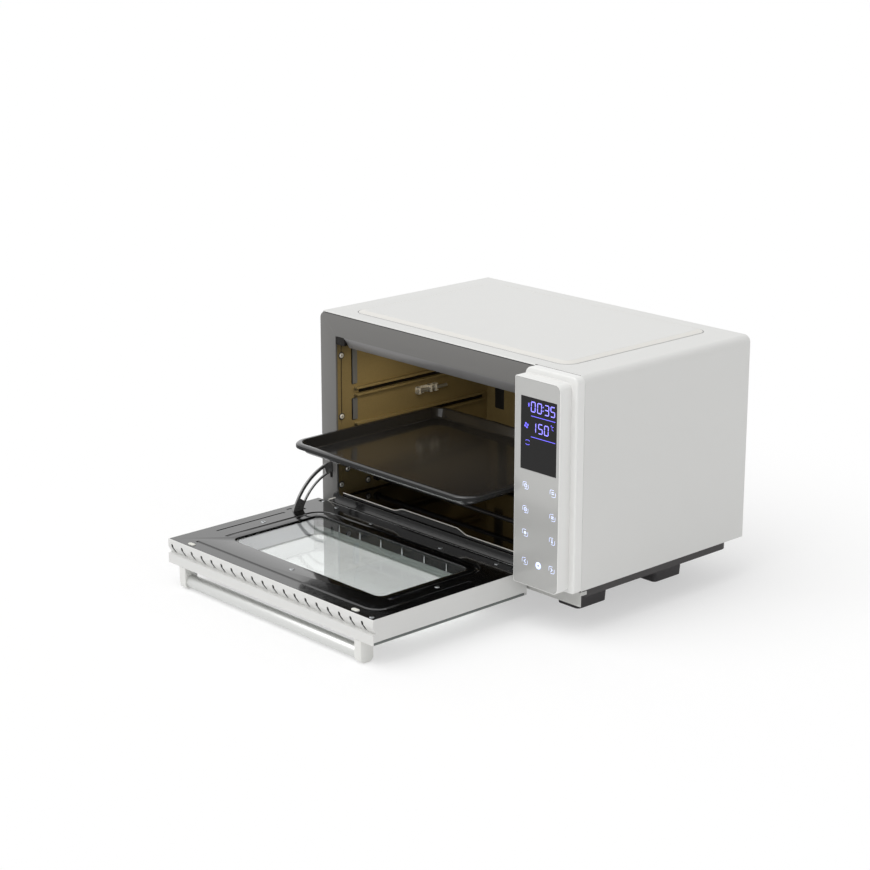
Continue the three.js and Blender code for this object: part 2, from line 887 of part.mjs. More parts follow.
function fanShell() {
  const { left, right } = fanShellSpan();
  const outer = fanDiameter + 2 * (fanClearance + fanShellWall);
  const body = rodX(left, right, fanDistance, fanHeight, outer);
  const hollow = rodX(
    left - cutOverrun, right - fanShellWall, fanDistance, fanHeight, outer - 2 * fanShellWall,
  );
  const shaftHole = rodX(
    left, right + cutOverrun, fanDistance, fanHeight, fanShaftDiameter + 4 * fitGap, smallSides,
  );
  return cut(body, hollow, shaftHole);
}

function fan() {
  const { left, right } = fanShellSpan();
  const start = left + fanClearance;
  const end = start + fanWidth;
  const hub = rodX(start, end, fanDistance, fanHeight, fanHubDiameter, smallSides);
  const shaft = rodX(
    end - fanWidth / 2, right + fitGap, fanDistance, fanHeight, fanShaftDiameter, smallSides,
  );
  const disc = rodX(end - 2 * fanBladeThickness, end, fanDistance, fanHeight, fanDiameter * 3 / 4);
  const blades = Array.from({ length: fanBladeCount }, (_, blade) => {
    const inner = fanHubDiameter / 3;
    const geometry = new THREE.BoxGeometry(fanWidth, fanDiameter / 2 - inner, fanBladeThickness);
    geometry.translate((start + end) / 2, (fanDiameter / 2 + inner) / 2, 0);
    geometry.rotateX((2 * Math.PI * blade) / fanBladeCount);
    geometry.translate(0, fanDistance, fanHeight);
    return solid(geometry);
  });
  return joined(hub, shaft, disc, ...blades);
}

function fanMotor() {
  const { right } = fanShellSpan();
  const start = right + 2 * fitGap;
  const flange = fanShellWall;
  return joined(
    rodX(start, start + motorLength, fanDistance, fanHeight, motorDiameter),
    block(
      [start, start + flange],
      [fanDistance - motorDiameter * 3 / 4, fanDistance + motorDiameter * 3 / 4],
      [fanHeight - motorDiameter / 4, fanHeight + motorDiameter / 4],
    ),
  );
}

function crumbTray() {
  const left = mouthLeft + crumbSideGap;
  const right = mouthRight - crumbSideGap;
  const bottom = cavityFloor + fitGap;
  const back = cavityDepth - crumbBackGap;
  const body = block([left, right], [crumbFront, back], [bottom, bottom + crumbRim]);
  const hollow = block(
    [left + crumbSheet, right - crumbSheet],
    [crumbFront + crumbSheet, back - crumbSheet],
    [bottom + crumbSheet, bottom + crumbRim + cutOverrun],
  );
  const tabLeft = mouthLeft + fingerTabInset;
  const tabRight = tabLeft + fingerTabWidth;
  const slope = Array.from({ length: cornerSteps + 1 }, (_, step) => {
    const share = step / cornerSteps;
    const rise = (fingerTabHeight - crumbLipHeight) * (1 - Math.cos(Math.PI * share)) / 2;
    return { away: fingerTabSlope * (1 - share), z: bottom + crumbLipHeight + rise };
  });
  const lip = frontPlate([
    new THREE.Vector2(left, bottom),
    new THREE.Vector2(right, bottom),
    new THREE.Vector2(right, bottom + crumbLipHeight),
    ...slope.map(({ away, z }) => new THREE.Vector2(tabRight + away, z)),
    ...[...slope].reverse().map(({ away, z }) => new THREE.Vector2(tabLeft - away, z)),
    new THREE.Vector2(left, bottom + crumbLipHeight),
  ], crumbFront, crumbFront + crumbSheet);
  return joined(cut(body, hollow), lip);
}

function bakingTray() {
  const left = mouthLeft + traySideGap;
  const right = mouthRight - traySideGap;
  const outline = (inset) => roundedOutline(
    left + inset, trayFront + inset, right - inset, trayFront + trayLength - inset, trayRadius - inset / 2,
  );
  const bottom = trayRimTop - trayDepth;
  const bowl = loft([
    { points: outline(trayRimWidth + trayFlare), z: bottom },
    { points: outline(trayRimWidth), z: trayRimTop },
  ]);
  const rimSections = (inset, drop) => trayRimAcrossShares.map((share, index) => ({
    points: outline(share * trayRimWidth + inset),
    z: trayRimTop - trayRimHeight + trayRimRiseShares[index] * trayRimHeight - drop,
  }));
  const rim = cut(loft(rimSections(0, 0)), loft(rimSections(traySheet, traySheet)));
  const hollow = loft([
    { points: outline(trayRimWidth + trayFlare + traySheet), z: bottom + traySheet },
    { points: outline(trayRimWidth + traySheet), z: trayRimTop + traySheet },
  ]);
  return cut(joined(bowl, rim), hollow);
}

// Control column
const relayLeft = cabinetWidth - relayInset - relayWidth;

function podTierBounds(inset) {
  return [
    podLeft + podTierLeftInset + inset,
    podBottom + podTierBottomInset + inset,
    cabinetWidth - podTierRightInset - inset,
    podTop - podTierTopInset - inset,
  ];
}

function displayOutline(margin) {
  return roundedOutline(
    displayLeft - margin, displayBottom - margin,
    displayLeft + displayWidth + margin, displayBottom + displayHeight + margin, 0,
  );
}

function boardPlanes() {
  const wallInner = podFront + glassThickness + fitGap + podWall;
  return { wallInner, front: wallInner + boardSetback, back: wallInner + boardSetback + boardThickness };
}

function boardBounds() {
  const [left, bottom, right, top] = podTierBounds(podWall + boardMargin);
  return { left, bottom, right, top };
}

function bossPlaces() {
  const { left, bottom, right, top } = boardBounds();
  return [left + bossDiameter, right - bossDiameter].flatMap((x) => (
    [bottom + bossDiameter, top - bossDiameter].map((z) => ({ x, z }))
  ));
}

function controlHousing() {
  const base = roundedFrontPlate(
    [podLeft, podBottom, cabinetWidth, podTop], podCornerRadii, podBaseFront, podBack, podEdgeRadius,
  );
  const tier = roundedFrontPlate(
    podTierBounds(0), podTierCornerRadii, podFront, podBack, podTierEdgeRadius,
  );
  const { wallInner, front } = boardPlanes();
  const baseHollow = frontPlate(
    roundedOutline(
      podLeft + podWall, podBottom + podWall, cabinetWidth - podWall, podTop - podWall, podWall,
    ),
    podBaseFront + podWall, cutOverrun,
  );
  const tierHollow = frontPlate(roundedOutline(...podTierBounds(podWall), podWall), wallInner, cutOverrun);
  const glassSeat = frontPlate(
    roundedOutline(...podTierBounds(glassRim), glassCornerRadii),
    podFront - cutOverrun, podFront + glassThickness + fitGap,
  );
  const displayHole = frontPlate(displayOutline(fitGap), podFront, wallInner + cutOverrun);
  const bosses = bossPlaces().map(({ x, z }) => (
    rodY(wallInner - podWall / 2, front - fitGap, x, z, bossDiameter, smallSides)
  ));
  return joined(cut(joined(base, tier), baseHollow, tierHollow, glassSeat, displayHole), ...bosses);
}

function controlGlass() {
  return frontPlate(
    roundedOutline(...podTierBounds(glassRim + fitGap), glassCornerRadii),
    podFront, podFront + glassThickness, [displayOutline(fitGap)],
  );
}

function displayWindow() {
  return frontPlate(displayOutline(0), podFront, podFront + glassThickness + podWall);
}

function controlBoard() {
  const { front, back } = boardPlanes();
  const { left, bottom, right, top } = boardBounds();
  const board = block([left, right], [front, back], [bottom, top]);
  const module = block(
    [displayLeft, displayLeft + displayWidth],
    [podFront + glassThickness + podWall + fitGap, front],
    [displayBottom, displayBottom + displayHeight],
  );
  return joined(board, module);
}

function relayBoard() {
  const back = backInner - fitGap;
  const boardBack = back - relayStandoff;
  const front = boardBack - boardThickness;
  const right = relayLeft + relayWidth;
  const top = relayBottom + relayHeight;
  const board = block([relayLeft, right], [front, boardBack], [relayBottom, top]);
  const standoffs = [relayLeft + bossDiameter, right - bossDiameter].flatMap((x) => (
    [relayBottom + bossDiameter, top - bossDiameter].map((z) => (
      rodY(boardBack - boardThickness / 2, back, x, z, bossDiameter, smallSides)
    ))
  ));
  const blocks = [1, 2, 3].map((row) => {
    const x = relayLeft + (row * relayWidth) / 4;
    const z = (relayBottom + top) / 2;
    return block(
      [x - relayBlockSize / 2, x + relayBlockSize / 2],
      [front - relayBlockSize, front + boardThickness / 2],
      [z - relayBlockSize / 2, z + relayBlockSize / 2],
    );
  });
  return joined(board, ...standoffs, ...blocks);
}

function cordInlet() {
  const across = cabinetWidth - inletInset;
  const flange = rodY(
    backFace + fitGap, backFace + fitGap + inletFlangeLength, across, inletHeight, inletFlangeDiameter,
  );
  const neck = rodY(
    backFace - inletNeckLength, backFace + fitGap + inletFlangeLength, across, inletHeight,
    inletNeckDiameter,
  );
  const bore = rodY(
    backFace - inletNeckLength - cutOverrun, backFace + inletFlangeLength + cutOverrun,
    across, inletHeight, inletBore,
  );
  return cut(joined(flange, neck), bore);
}

// Door
function hingePlaces() {
  return [hingeLeftAcross, doorRight - hingeRightMargin];
}

function hingeNotches() {
  return hingePlaces().map((across) => block(
    [across - hingeNotchWidth / 2, across + hingeNotchWidth / 2],
    [doorFar - hingeNotchDepth, doorFar + cutOverrun],
    [doorFaceHeight - hingeNotchHeight, doorFaceHeight + cutOverrun],
  ));
}

function windowOutline(margin) {
  return roundedOutline(
    windowLeft - margin, windowNear - margin, windowRight + margin, windowFar + margin,
    windowRadius + margin,
  );
}

function armFootSpan() {
  return [hingeY - armOuterRadius - armFlare, hingeY - armInnerRadius - armFlare / 2];
}

function doorShell() {
  const body = block([doorLeft, doorRight], [stripBack + fitGap, doorFar], [doorUnder, doorRimTop]);
  const hollow = block(
    [doorLeft + doorWall, doorRight - doorWall],
    [stripBack + fitGap + doorWall, doorFar - doorWall],
    [doorUnder + doorSkin, doorRimTop + cutOverrun],
  );
  const panelRoom = block(
    [doorLeft + doorRimWall, doorRight - doorRimWall],
    [stripBack - cutOverrun, doorFar - doorRimWall],
    [doorSeat, doorRimTop + cutOverrun],
  );
  const window = flatPlate(windowOutline(0), doorUnder - cutOverrun, doorSeat);
  const seams = [
    [doorLeft - cutOverrun, doorLeft + doorSeamDepth],
    [doorRight - doorSeamDepth, doorRight + cutOverrun],
  ].map((across) => block(
    across,
    [stripBack - cutOverrun, doorFar - doorWall],
    [doorUnder + doorSkin, doorUnder + doorSkin + doorSeamHeight],
  ));
  const knuckles = hingePlaces().flatMap((across) => [
    [across - hingeNotchWidth / 2 - knuckleWidth, across - hingeNotchWidth / 2],
    [across + hingeNotchWidth / 2, across + hingeNotchWidth / 2 + knuckleWidth],
  ]).map((across) => block(across, [doorFar - knuckleDepth, doorFar], [doorSeat - knuckleHeight, doorSeat]));
  const pinBores = hingePlaces().map((across) => rodX(
    across - hingePinLength / 2 - fitGap, across + hingePinLength / 2 + fitGap, hingeY, hingeZ,
    hingePinDiameter + 2 * fitGap, smallSides,
  ));
  const tray = cut(body, hollow, panelRoom, window, ...seams);
  return cut(joined(tray, ...knuckles), ...hingeNotches(), ...pinBores);
}

// Section of the vent strip in y and z: a hollow curve above a step, then a flat face.
function ventStrip() {
  const stepTop = doorUnder + stripStepHeight;
  const points = [
    new THREE.Vector2(doorNear, doorUnder),
    new THREE.Vector2(stripBack, doorUnder),
    new THREE.Vector2(stripBack, doorSeat),
    new THREE.Vector2(doorNear + doorRimWall, doorSeat),
    new THREE.Vector2(doorNear + doorRimWall, doorRimTop),
    new THREE.Vector2(doorNear, doorRimTop),
  ];
  const curveTop = doorRimTop - (doorRimTop - stepTop) / 3;
  for (let step = 0; step <= cornerSteps; step += 1) {
    const share = step / cornerSteps;
    points.push(new THREE.Vector2(
      doorNear + stripHollow * (1 - Math.cos(share * Math.PI / 2)),
      curveTop + share * (stepTop - curveTop),
    ));
  }
  points.push(new THREE.Vector2(doorNear, stepTop - stripWall / 2));
  const body = sidePlate(points.reverse(), doorLeft, doorRight);
  const hollow = block(
    [doorLeft + stripWall, doorRight - stripWall],
    [doorNear + stripHollow + stripWall, stripBack + cutOverrun],
    [doorUnder + stripWall, doorSeat - stripWall],
  );
  const slotRow = doorWidth - stripSlotRightMargin - stripSlotLeftMargin;
  const slotCount = Math.floor(slotRow / stripSlotPitch) + 1;
  const slots = Array.from({ length: slotCount }, (_, slot) => {
    const x = doorRight - stripSlotRightMargin - slot * stripSlotPitch;
    const outline = [
      new THREE.Vector2(x, stepTop + fitGap),
      new THREE.Vector2(x + stripSlotWidth, stepTop + fitGap),
      new THREE.Vector2(x + stripSlotWidth - stripSlotSlant, stepTop + stripSlotLength),
      new THREE.Vector2(x - stripSlotSlant, stepTop + stripSlotLength),
    ];
    return frontPlate(outline, doorNear - cutOverrun, doorNear + stripHollow + stripWall + cutOverrun / 2);
  });
  return cut(body, hollow, ...slots);
}

function screwPlaces() {
  const middleX = (doorLeft + doorRight) / 2;
  const windowMiddle = (windowNear + windowFar) / 2;
  return [
    { x: doorLeft + screwSideInset, y: windowMiddle },
    { x: doorRight - screwSideInset - fitGap, y: windowMiddle },
    { x: middleX, y: doorNear + screwFrontInset },
    { x: middleX - doorWidth / 6, y: doorFar - screwRearInset },
    { x: middleX + doorWidth / 6, y: doorFar - screwRearInset },
    { x: doorLeft + screwFrontInset + screwEdgeMargin, y: doorFar - screwCornerInset },
    { x: doorRight - screwFrontInset, y: doorFar - screwCornerInset },
    { x: doorRight - screwEdgeMargin, y: doorNear + screwEdgeMargin * 2 / 3 },
  ];
}

function doorInnerPanel() {
  const bottom = doorFaceHeight - doorPanelThickness;
  const inset = doorRimWall + fitGap;
  const screwHoles = screwPlaces().map(({ x, y }) => (
    circleOutline(x, y, screwShankDiameter / 2 + fitGap, smallSides)
  ));
  const [footNear, footFar] = armFootSpan();
  const armHole = roundedOutline(
    armAcross - frameSlotWidth / 2, footNear - frameSlotClearance,
    armAcross + frameSlotWidth / 2, footFar + frameSlotClearance, 0,
  );
  const plate = flatPlate(
    roundedOutline(doorLeft + inset, doorNear + inset, doorRight - inset, doorFar - inset, doorRimWall),
    bottom, doorFaceHeight, [windowOutline(0), ...screwHoles, armHole],
  );
  const pressed = [doorFaceHeight - pressedDepth, doorFaceHeight + cutOverrun];
  const across = [doorLeft - cutOverrun, doorRight + cutOverrun];
  const edgeOutline = (margin) => roundedOutline(
    doorLeft + edgeGrooveLeft + margin, doorNear + edgeGrooveFront + margin,
    doorRight - edgeGrooveRight - margin, doorFar - margin, edgeGrooveRadius - margin,
  );
  const edgeGroove = cut(
    flatPlate(edgeOutline(0), ...pressed, [edgeOutline(edgeGrooveWidth)]),
    block(across, [doorFar - edgeGrooveRear, doorFar + cutOverrun], [0, doorFaceHeight + 2 * cutOverrun]),
  );
  const windowBead = cut(
    flatPlate(
      windowOutline(windowBeadMargin + windowBeadWidth), ...pressed, [windowOutline(windowBeadMargin)],
    ),
    block(across, [doorNear, windowNear], [0, doorFaceHeight + 2 * cutOverrun]),
  );
  return cut(plate, edgeGroove, windowBead, ...hingeNotches());
}

function paneHeights() {
  const innerTop = doorFaceHeight - doorPanelThickness - fitGap;
  const outerBottom = doorUnder + doorSkin + fitGap;
  return {
    inner: [innerTop - innerPaneThickness, innerTop],
    outer: [outerBottom, outerBottom + outerPaneThickness],
  };
}

function doorPane([bottom, top]) {
  return flatPlate(windowOutline(glazingMargin), bottom, top);
}

function glassSpacer() {
  const { inner, outer } = paneHeights();
  return flatPlate(
    windowOutline(glazingMargin), outer[1] + fitGap, inner[0] - fitGap, [windowOutline(fitGap)],
  );
}

function handleAxis() {
  return { y: doorNear + handleInset, z: doorUnder - handleDrop - handleDiameter / 2 };
}

function handleSpan() {
  return { left: doorLeft + handleEndMargin, right: doorRight - handleEndMargin };
}

function handleBar() {
  const { y, z } = handleAxis();
  const { left, right } = handleSpan();
  const start = left + handleBracketThickness + fitGap;
  const end = right - handleBracketThickness - fitGap;
  const tube = rodX(start, end, y, z, handleDiameter);
  const bore = rodX(start - cutOverrun, end + cutOverrun, y, z, handleDiameter - 2 * handleWall);
  return cut(tube, bore);
}

function handleBracket(left, spigotSide) {
  const { y, z } = handleAxis();
  const bottom = z - handleDiameter / 2 - handleBracketLap;
  const outline = roundedOutline(
    y - handleBracketWidth / 2, bottom, y + handleBracketWidth / 2, doorUnder - fitGap,
    [handleBracketWidth / 2, handleBracketWidth / 2, 0, 0],
  );
  const plate = sidePlate(outline, left, left + handleBracketThickness);
  const face = spigotSide > 0 ? left + handleBracketThickness : left;
  const ends = [face - spigotSide * handleBracketThickness / 2, face + spigotSide * handleSpigotLength];
  const spigot = rodX(
    Math.min(...ends), Math.max(...ends), y, z, handleDiameter - 2 * handleWall - 2 * fitGap,
  );
  return joined(plate, spigot);
}

function hingePlate(across) {
  const span = [across - hingePlateThickness / 2, across + hingePlateThickness / 2];
  const outline = roundedOutline(
    hingeY - hingePlateReach, hingeZ - hingePlateHeight / 2, -fitGap, hingeZ + hingePlateHeight / 2,
    [hingePlateHeight / 3, 0, 0, hingePlateHeight / 3],
  );
  const bore = circleOutline(hingeY, hingeZ, hingePinDiameter / 2 + fitGap, smallSides);
  return sidePlate(outline, span[0], span[1], [bore]);
}

function hingePin(across) {
  return rodX(
    across - hingePinLength / 2, across + hingePinLength / 2, hingeY, hingeZ, hingePinDiameter, smallSides,
  );
}

function armRadius(base, degrees) {
  const share = Math.min(Math.abs(degrees - armFlareMiddle) / armFlareSpan, 1);
  return base + armFlare * share ** 2;
}

// A band of the arm between two distances from the hinge, over a range of angles.
function arcBand(inner, outer, fromDegrees, toDegrees) {
  const angles = Array.from({ length: armArcSteps + 1 }, (_, step) => (
    fromDegrees + ((toDegrees - fromDegrees) * step) / armArcSteps
  ));
  const ring = (base, list) => list.map((degrees) => {
    const angle = THREE.MathUtils.degToRad(degrees);
    const radius = armRadius(base, degrees);
    return new THREE.Vector2(hingeY + radius * Math.cos(angle), hingeZ + radius * Math.sin(angle));
  });
  return [...ring(outer, angles), ...ring(inner, [...angles].reverse())];
}

// The arm runs inside the door down to the outer skin, and its far end has a cross stop behind the frame.
function stayArm() {
  const span = [armAcross - armThickness / 2, armAcross + armThickness / 2];
  const edge = arcBand(armInnerRadius, armOuterRadius, armEndAngle, armFootAngle);
  const band = sidePlate(edge, span[0], span[1]);
  const window = sidePlate(
    arcBand(armInnerRadius + armSlotInner, armInnerRadius + armSlotOuter, armCutStart, armCutEnd),
    span[0] - cutOverrun, span[1] + cutOverrun,
  );
  const [footNear, footFar] = armFootSpan();
  const floor = doorUnder + doorSkin + fitGap;
  const leg = block(span, [footNear, footFar], [floor, hingeZ]);
  const flange = block(
    [armAcross - armFootWidth / 2, armAcross + armFootWidth / 2], [footNear, footFar],
    [floor, floor + armFootThickness],
  );
  const stopTurn = THREE.MathUtils.radToDeg(armStopLength / armOuterRadius);
  const stop = sidePlate(
    arcBand(armOuterRadius - armStopHeight, armOuterRadius, armEndAngle, armEndAngle + stopTurn),
    armAcross - armStopWidth / 2, armAcross + armStopWidth / 2,
  );
  return joined(cut(band, window), leg, flange, stop);
}

function bumper(across) {
  const y = doorNear + bumperFromEdge;
  return flatPlate(
    roundedOutline(
      across - bumperLength / 2, y - bumperWidth / 2, across + bumperLength / 2, y + bumperWidth / 2,
      bumperWidth * 9 / 20,
    ),
    doorFaceHeight, doorFaceHeight + bumperHeight,
  );
}

function doorScrew({ x, y }) {
  const head = doorFaceHeight + fitGap;
  return joined(
    rodZ(head, head + screwHeadHeight, x, y, screwHeadDiameter),
    rodZ(doorFaceHeight - screwShankLength, head + screwHeadHeight / 2, x, y, screwShankDiameter),
  );
}

// Cabinet
place('cabinet_cover', cabinetCover(), silverPaint());
place('front_frame', frontFrame(), framePaint());
place('front_skirt', frontSkirt(), skirtPaint());
place('base_pan', basePan(), darkSteel());
place('back_panel', backPanel(), silverPaint());
const rightFootLeft = cabinetWidth - footSideInset - footWidth;
const rearFootFront = cabinetDepth - footBackInset - footLength;
place('foot_front_left', foot(footSideInset, footFrontInset), rubber());
place('foot_front_right', foot(rightFootLeft, footFrontInset), rubber());
place('foot_rear_left', foot(footSideInset, rearFootFront), rubber());
place('foot_rear_right', foot(rightFootLeft, rearFootFront), rubber());
place('cord_inlet', cordInlet(), blackPlastic());

// Cavity and what it holds
place('cavity_left_wall', sideWall(mouthLeft, 1, wallBands()), cavityCoating());
place('cavity_right_wall', sideWall(mouthRight, -1, [...wallBands(), ...grilleHoles()]), cavityCoating());
place('cavity_roof', cavityRoofSheet(), cavityCoating());
place('cavity_floor', cavityFloorSheet(), cavityCoating());
place('cavity_back_wall', cavityBackSheet(), cavityCoating());
const lowerRods = cavityFloor + rodRiseAboveFloor;
const upperRods = cavityRoof - rodDropBelowRoof;
place('lower_heater_front', heatingRod(rodFrontDistance, lowerRods), heaterSheath());
const rodRearDistance = cavityDepth - rodRearFromBack;
place('lower_heater_rear', heatingRod(rodRearDistance, lowerRods), heaterSheath());
place('upper_heater_front', heatingRod(rodFrontDistance, upperRods), heaterSheath());
place('upper_heater_rear', heatingRod(rodRearDistance, upperRods), heaterSheath());
place('thermostat_clip', thermostatClip(), zincSteel());
place('thermostat_bulb', thermostatBulb(), brushedSteel());
place('crumb_tray', crumbTray(), blackEnamel());
place('baking_tray', bakingTray(), trayCoating());
place('fan_shell', fanShell(), zincSteel());
place('fan', fan(), zincSteel());
place('fan_motor', fanMotor(), darkSteel());

// Controls
place('control_housing', controlHousing(), whitePlastic());
place('control_glass', controlGlass(), panelGlass());
place('display_window', displayWindow(), blackGlass());
place('control_board', controlBoard(), circuitBoard());
place('relay_board', relayBoard(), circuitBoard());

// Door
const panes = paneHeights();
place('door_shell', doorShell(), doorPaint());
place('door_vent_strip', ventStrip(), doorPaint());
place('door_inner_panel', doorInnerPanel(), blackEnamel());
place('door_inner_glass', doorPane(panes.inner), paneGlass());
place('door_outer_glass', doorPane(panes.outer), paneGlass());
place('door_glass_spacer', glassSpacer(), blackPlastic());
place('handle_bar', handleBar(), brushedSteel());
place('handle_bracket_left', handleBracket(handleSpan().left, 1), zincSteel());
place('handle_bracket_right', handleBracket(handleSpan().right - handleBracketThickness, -1), zincSteel());
const sideNames = ['left', 'right'];
sideNames.forEach((side, index) => {
  place(`hinge_plate_${side}`, hingePlate(hingePlaces()[index]), zincSteel());
  place(`hinge_pin_${side}`, hingePin(hingePlaces()[index]), zincSteel());
});
place('stay_arm_left', stayArm(), darkSteel());
place('bumper_left', bumper(doorLeft + bumperSideInset), rubber());
place('bumper_right', bumper(doorRight - bumperSideInset), rubber());
screwPlaces().forEach((spot, index) => {
  place(`door_screw_${index + 1}`, doorScrew(spot), zincSteel());
});

// The origin is the middle of the footprint's box, on the table.
const rearmost = backFace + fitGap + inletFlangeLength;
oven.position.set(-(doorLeft + cabinetWidth) / 2, -(doorNear + rearmost) / 2, 0);

export default oven;
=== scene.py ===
"""Countertop mini oven: smooth pieces, details, finishes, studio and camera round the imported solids.

Sizes are in millimetres from the cabinet's lower front left corner, as the solids are drawn;
x runs to the right, y to the back and z up from the table.
"""
import math

import bmesh
import bpy
from bpy.props import FloatProperty, FloatVectorProperty, PointerProperty
from bpy.types import Operator, Panel, PropertyGroup
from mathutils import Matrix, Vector


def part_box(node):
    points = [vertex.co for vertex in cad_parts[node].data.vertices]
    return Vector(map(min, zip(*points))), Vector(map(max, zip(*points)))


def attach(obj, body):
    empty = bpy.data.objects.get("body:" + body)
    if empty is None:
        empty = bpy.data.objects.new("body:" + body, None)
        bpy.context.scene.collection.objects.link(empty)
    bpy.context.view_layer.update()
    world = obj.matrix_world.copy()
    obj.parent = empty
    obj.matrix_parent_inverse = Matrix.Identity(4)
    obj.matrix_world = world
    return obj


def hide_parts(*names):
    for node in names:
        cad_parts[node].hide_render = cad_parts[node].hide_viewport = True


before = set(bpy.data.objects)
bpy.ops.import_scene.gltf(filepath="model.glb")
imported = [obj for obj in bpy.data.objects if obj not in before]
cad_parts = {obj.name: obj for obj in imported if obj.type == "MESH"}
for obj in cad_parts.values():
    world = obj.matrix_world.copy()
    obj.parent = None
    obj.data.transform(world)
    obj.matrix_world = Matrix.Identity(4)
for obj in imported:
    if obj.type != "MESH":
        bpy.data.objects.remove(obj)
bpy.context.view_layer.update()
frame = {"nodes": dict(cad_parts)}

bl_info = {
    "name": "Countertop mini oven",
    "version": (1, 0, 0),
    "blender": (4, 5, 0),
    "location": "3D View > Sidebar > Oven",
    "description": "Builds the visible pieces, finishes, studio and camera of a countertop mini oven",
    "category": "Add Mesh",
}

MM = 0.001
COVER_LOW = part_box("cabinet_cover")[0]
ORIGIN = Vector((COVER_LOW.x, COVER_LOW.y, 0.0))

# A direction with more than this share of an axis lies along it, with less than the second across it.
ALONG = 0.9
ASIDE = 0.5
# Vertices nearer to each other than this, in metres, are merged.
WELD = 0.00001

CABINET_WIDTH = 520.0
CABINET_DEPTH = 326.0
CABINET_TOP = 350.0
COVER_BOTTOM = 62.0
PLATEAU_LOW = (45, 24)
PLATEAU_HIGH = (466, 302)
PLATEAU_CORNER = 18
FRAME_TOP = 347.0
FRAME_RIGHT = 518.9
FRAME_BOTTOM = 60.3
FRAME_BACK = 3.0
MOUTH_LEFT = 33.0
MOUTH_RIGHT = 402.0
MOUTH_BOTTOM = 78.0
CREASE = 316.0
MOUTH_TOP = 306.0
LIP_BOTTOM = 299.5
DOOR_LEFT = -6.0
DOOR_RIGHT = 424.0
DOOR_NEAR = -274.4
DOOR_FACE = 66.8
DOOR_UNDER = 32.2
ARM_ACROSS = 20.0
ARM_GAP = 3.0


# Places and selection


def at(x, y, z):
    """A place in millimetres as metres in the frame."""
    return ORIGIN + Vector((x, y, z)) * MM


def in_mm(place):
    """A place in the frame as millimetres from the cabinet's corner."""
    return (place - ORIGIN) / MM


def box_in_mm(name):
    """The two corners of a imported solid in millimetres."""
    low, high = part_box(name)
    return in_mm(low), in_mm(high)


def leave_edit():
    """Leaves edit mode and deselects every object."""
    if bpy.context.mode != "OBJECT":
        bpy.ops.object.mode_set(mode="OBJECT")
    bpy.ops.object.select_all(action="DESELECT")


def activate(piece):
    """Makes one object the only selected and active one."""
    leave_edit()
    piece.select_set(True)
    bpy.context.view_layer.objects.active = piece


def edit_all(piece):
    """Enters edit mode on one piece with all of its mesh selected."""
    activate(piece)
    bpy.ops.object.mode_set(mode="EDIT")
    bpy.ops.mesh.select_all(action="SELECT")


def pick(piece, kind, test=lambda place, way: True):
    """Selects the faces, edges or vertices for which test(place in mm, direction) holds.

    The direction is a face's normal, an edge's direction or a vertex's normal.
    """
    if piece.mode != "EDIT":
        activate(piece)
        bpy.ops.object.mode_set(mode="EDIT")
    bpy.ops.mesh.select_mode(type=kind)
    bpy.ops.mesh.select_all(action="DESELECT")
    mesh = bmesh.from_edit_mesh(piece.data)
    mesh.normal_update()
    if kind == "FACE":
        found = [f for f in mesh.faces if test(in_mm(f.calc_center_median()), f.normal)]
    elif kind == "EDGE":
        found = []
        for edge in mesh.edges:
            start, end = edge.verts[0].co, edge.verts[1].co
            if test(in_mm((start + end) / 2), (end - start).normalized()):
                found.append(edge)
    else:
        found = [v for v in mesh.verts if test(in_mm(v.co), v.normal)]
    for element in found:
        element.select_set(True)
    mesh.select_flush_mode()
    bmesh.update_edit_mesh(piece.data)
    return len(found)


def cut_away(piece, kind, test):
    """Deletes the faces or vertices that the test selects."""
    pick(piece, kind, test)
    bpy.ops.mesh.delete(type=kind)


def shift(x, y, z):
    """Moves what is selected by millimetres."""
    bpy.ops.transform.translate(value=(x * MM, y * MM, z * MM))


def turn(axis, degrees, centre=(0, 0, 0)):
    """Turns what is selected about a place, against the right-hand rule."""
    bpy.ops.transform.rotate(
        value=math.radians(degrees), orient_axis=axis, center_override=at(*centre),
    )


def sliced(piece, axis, places):
    """Cuts every face of a piece at places along one axis."""
    way = Vector((axis == "x", axis == "y", axis == "z"))
    for place in places:
        pick(piece, "FACE")
        bpy.ops.mesh.bisect(plane_co=at(*(way * place)), plane_no=way)


# Making and finishing


def named(name):
    """Gives the active object and its mesh a name."""
    made = bpy.context.object
    made.name = made.data.name = name
    return made


def new_box(name, low, high):
    """A box between two corners, in millimetres, to be shaped further."""
    leave_edit()
    low, high = at(*low), at(*high)
    bpy.ops.mesh.primitive_cube_add(size=1, location=(low + high) / 2)
    bpy.context.object.scale = high - low
    bpy.ops.object.transform_apply(location=True, rotation=True, scale=True)
    return named(name)


def new_sheet(name, low, high, height):
    """A flat level sheet between two corners, facing up."""
    leave_edit()
    low, high = at(*low, height), at(*high, height)
    bpy.ops.mesh.primitive_plane_add(size=1, location=(low + high) / 2)
    bpy.context.object.scale = (high.x - low.x, high.y - low.y, 1)
    bpy.ops.object.transform_apply(location=True, rotation=True, scale=True)
    return named(name)


def new_rod(name, start, end, diameter, sides=48, ends="NGON"):
    """A round bar between two places."""
    leave_edit()
    start, end = at(*start), at(*end)
    bpy.ops.mesh.primitive_cylinder_add(
        vertices=sides, radius=diameter / 2 * MM, depth=(end - start).length,
        location=(start + end) / 2, end_fill_type=ends,
    )
    bpy.context.object.rotation_euler = (end - start).to_track_quat("Z", "Y").to_euler()
    bpy.ops.object.transform_apply(location=True, rotation=True, scale=True)
    return named(name)


def modify(piece, kind, **settings):
    """Adds a modifier and applies it."""
    activate(piece)
    modifier = piece.modifiers.new(kind.title(), kind)
    for key, value in settings.items():
        setattr(modifier, key, value)
    bpy.ops.object.modifier_apply(modifier=modifier.name)


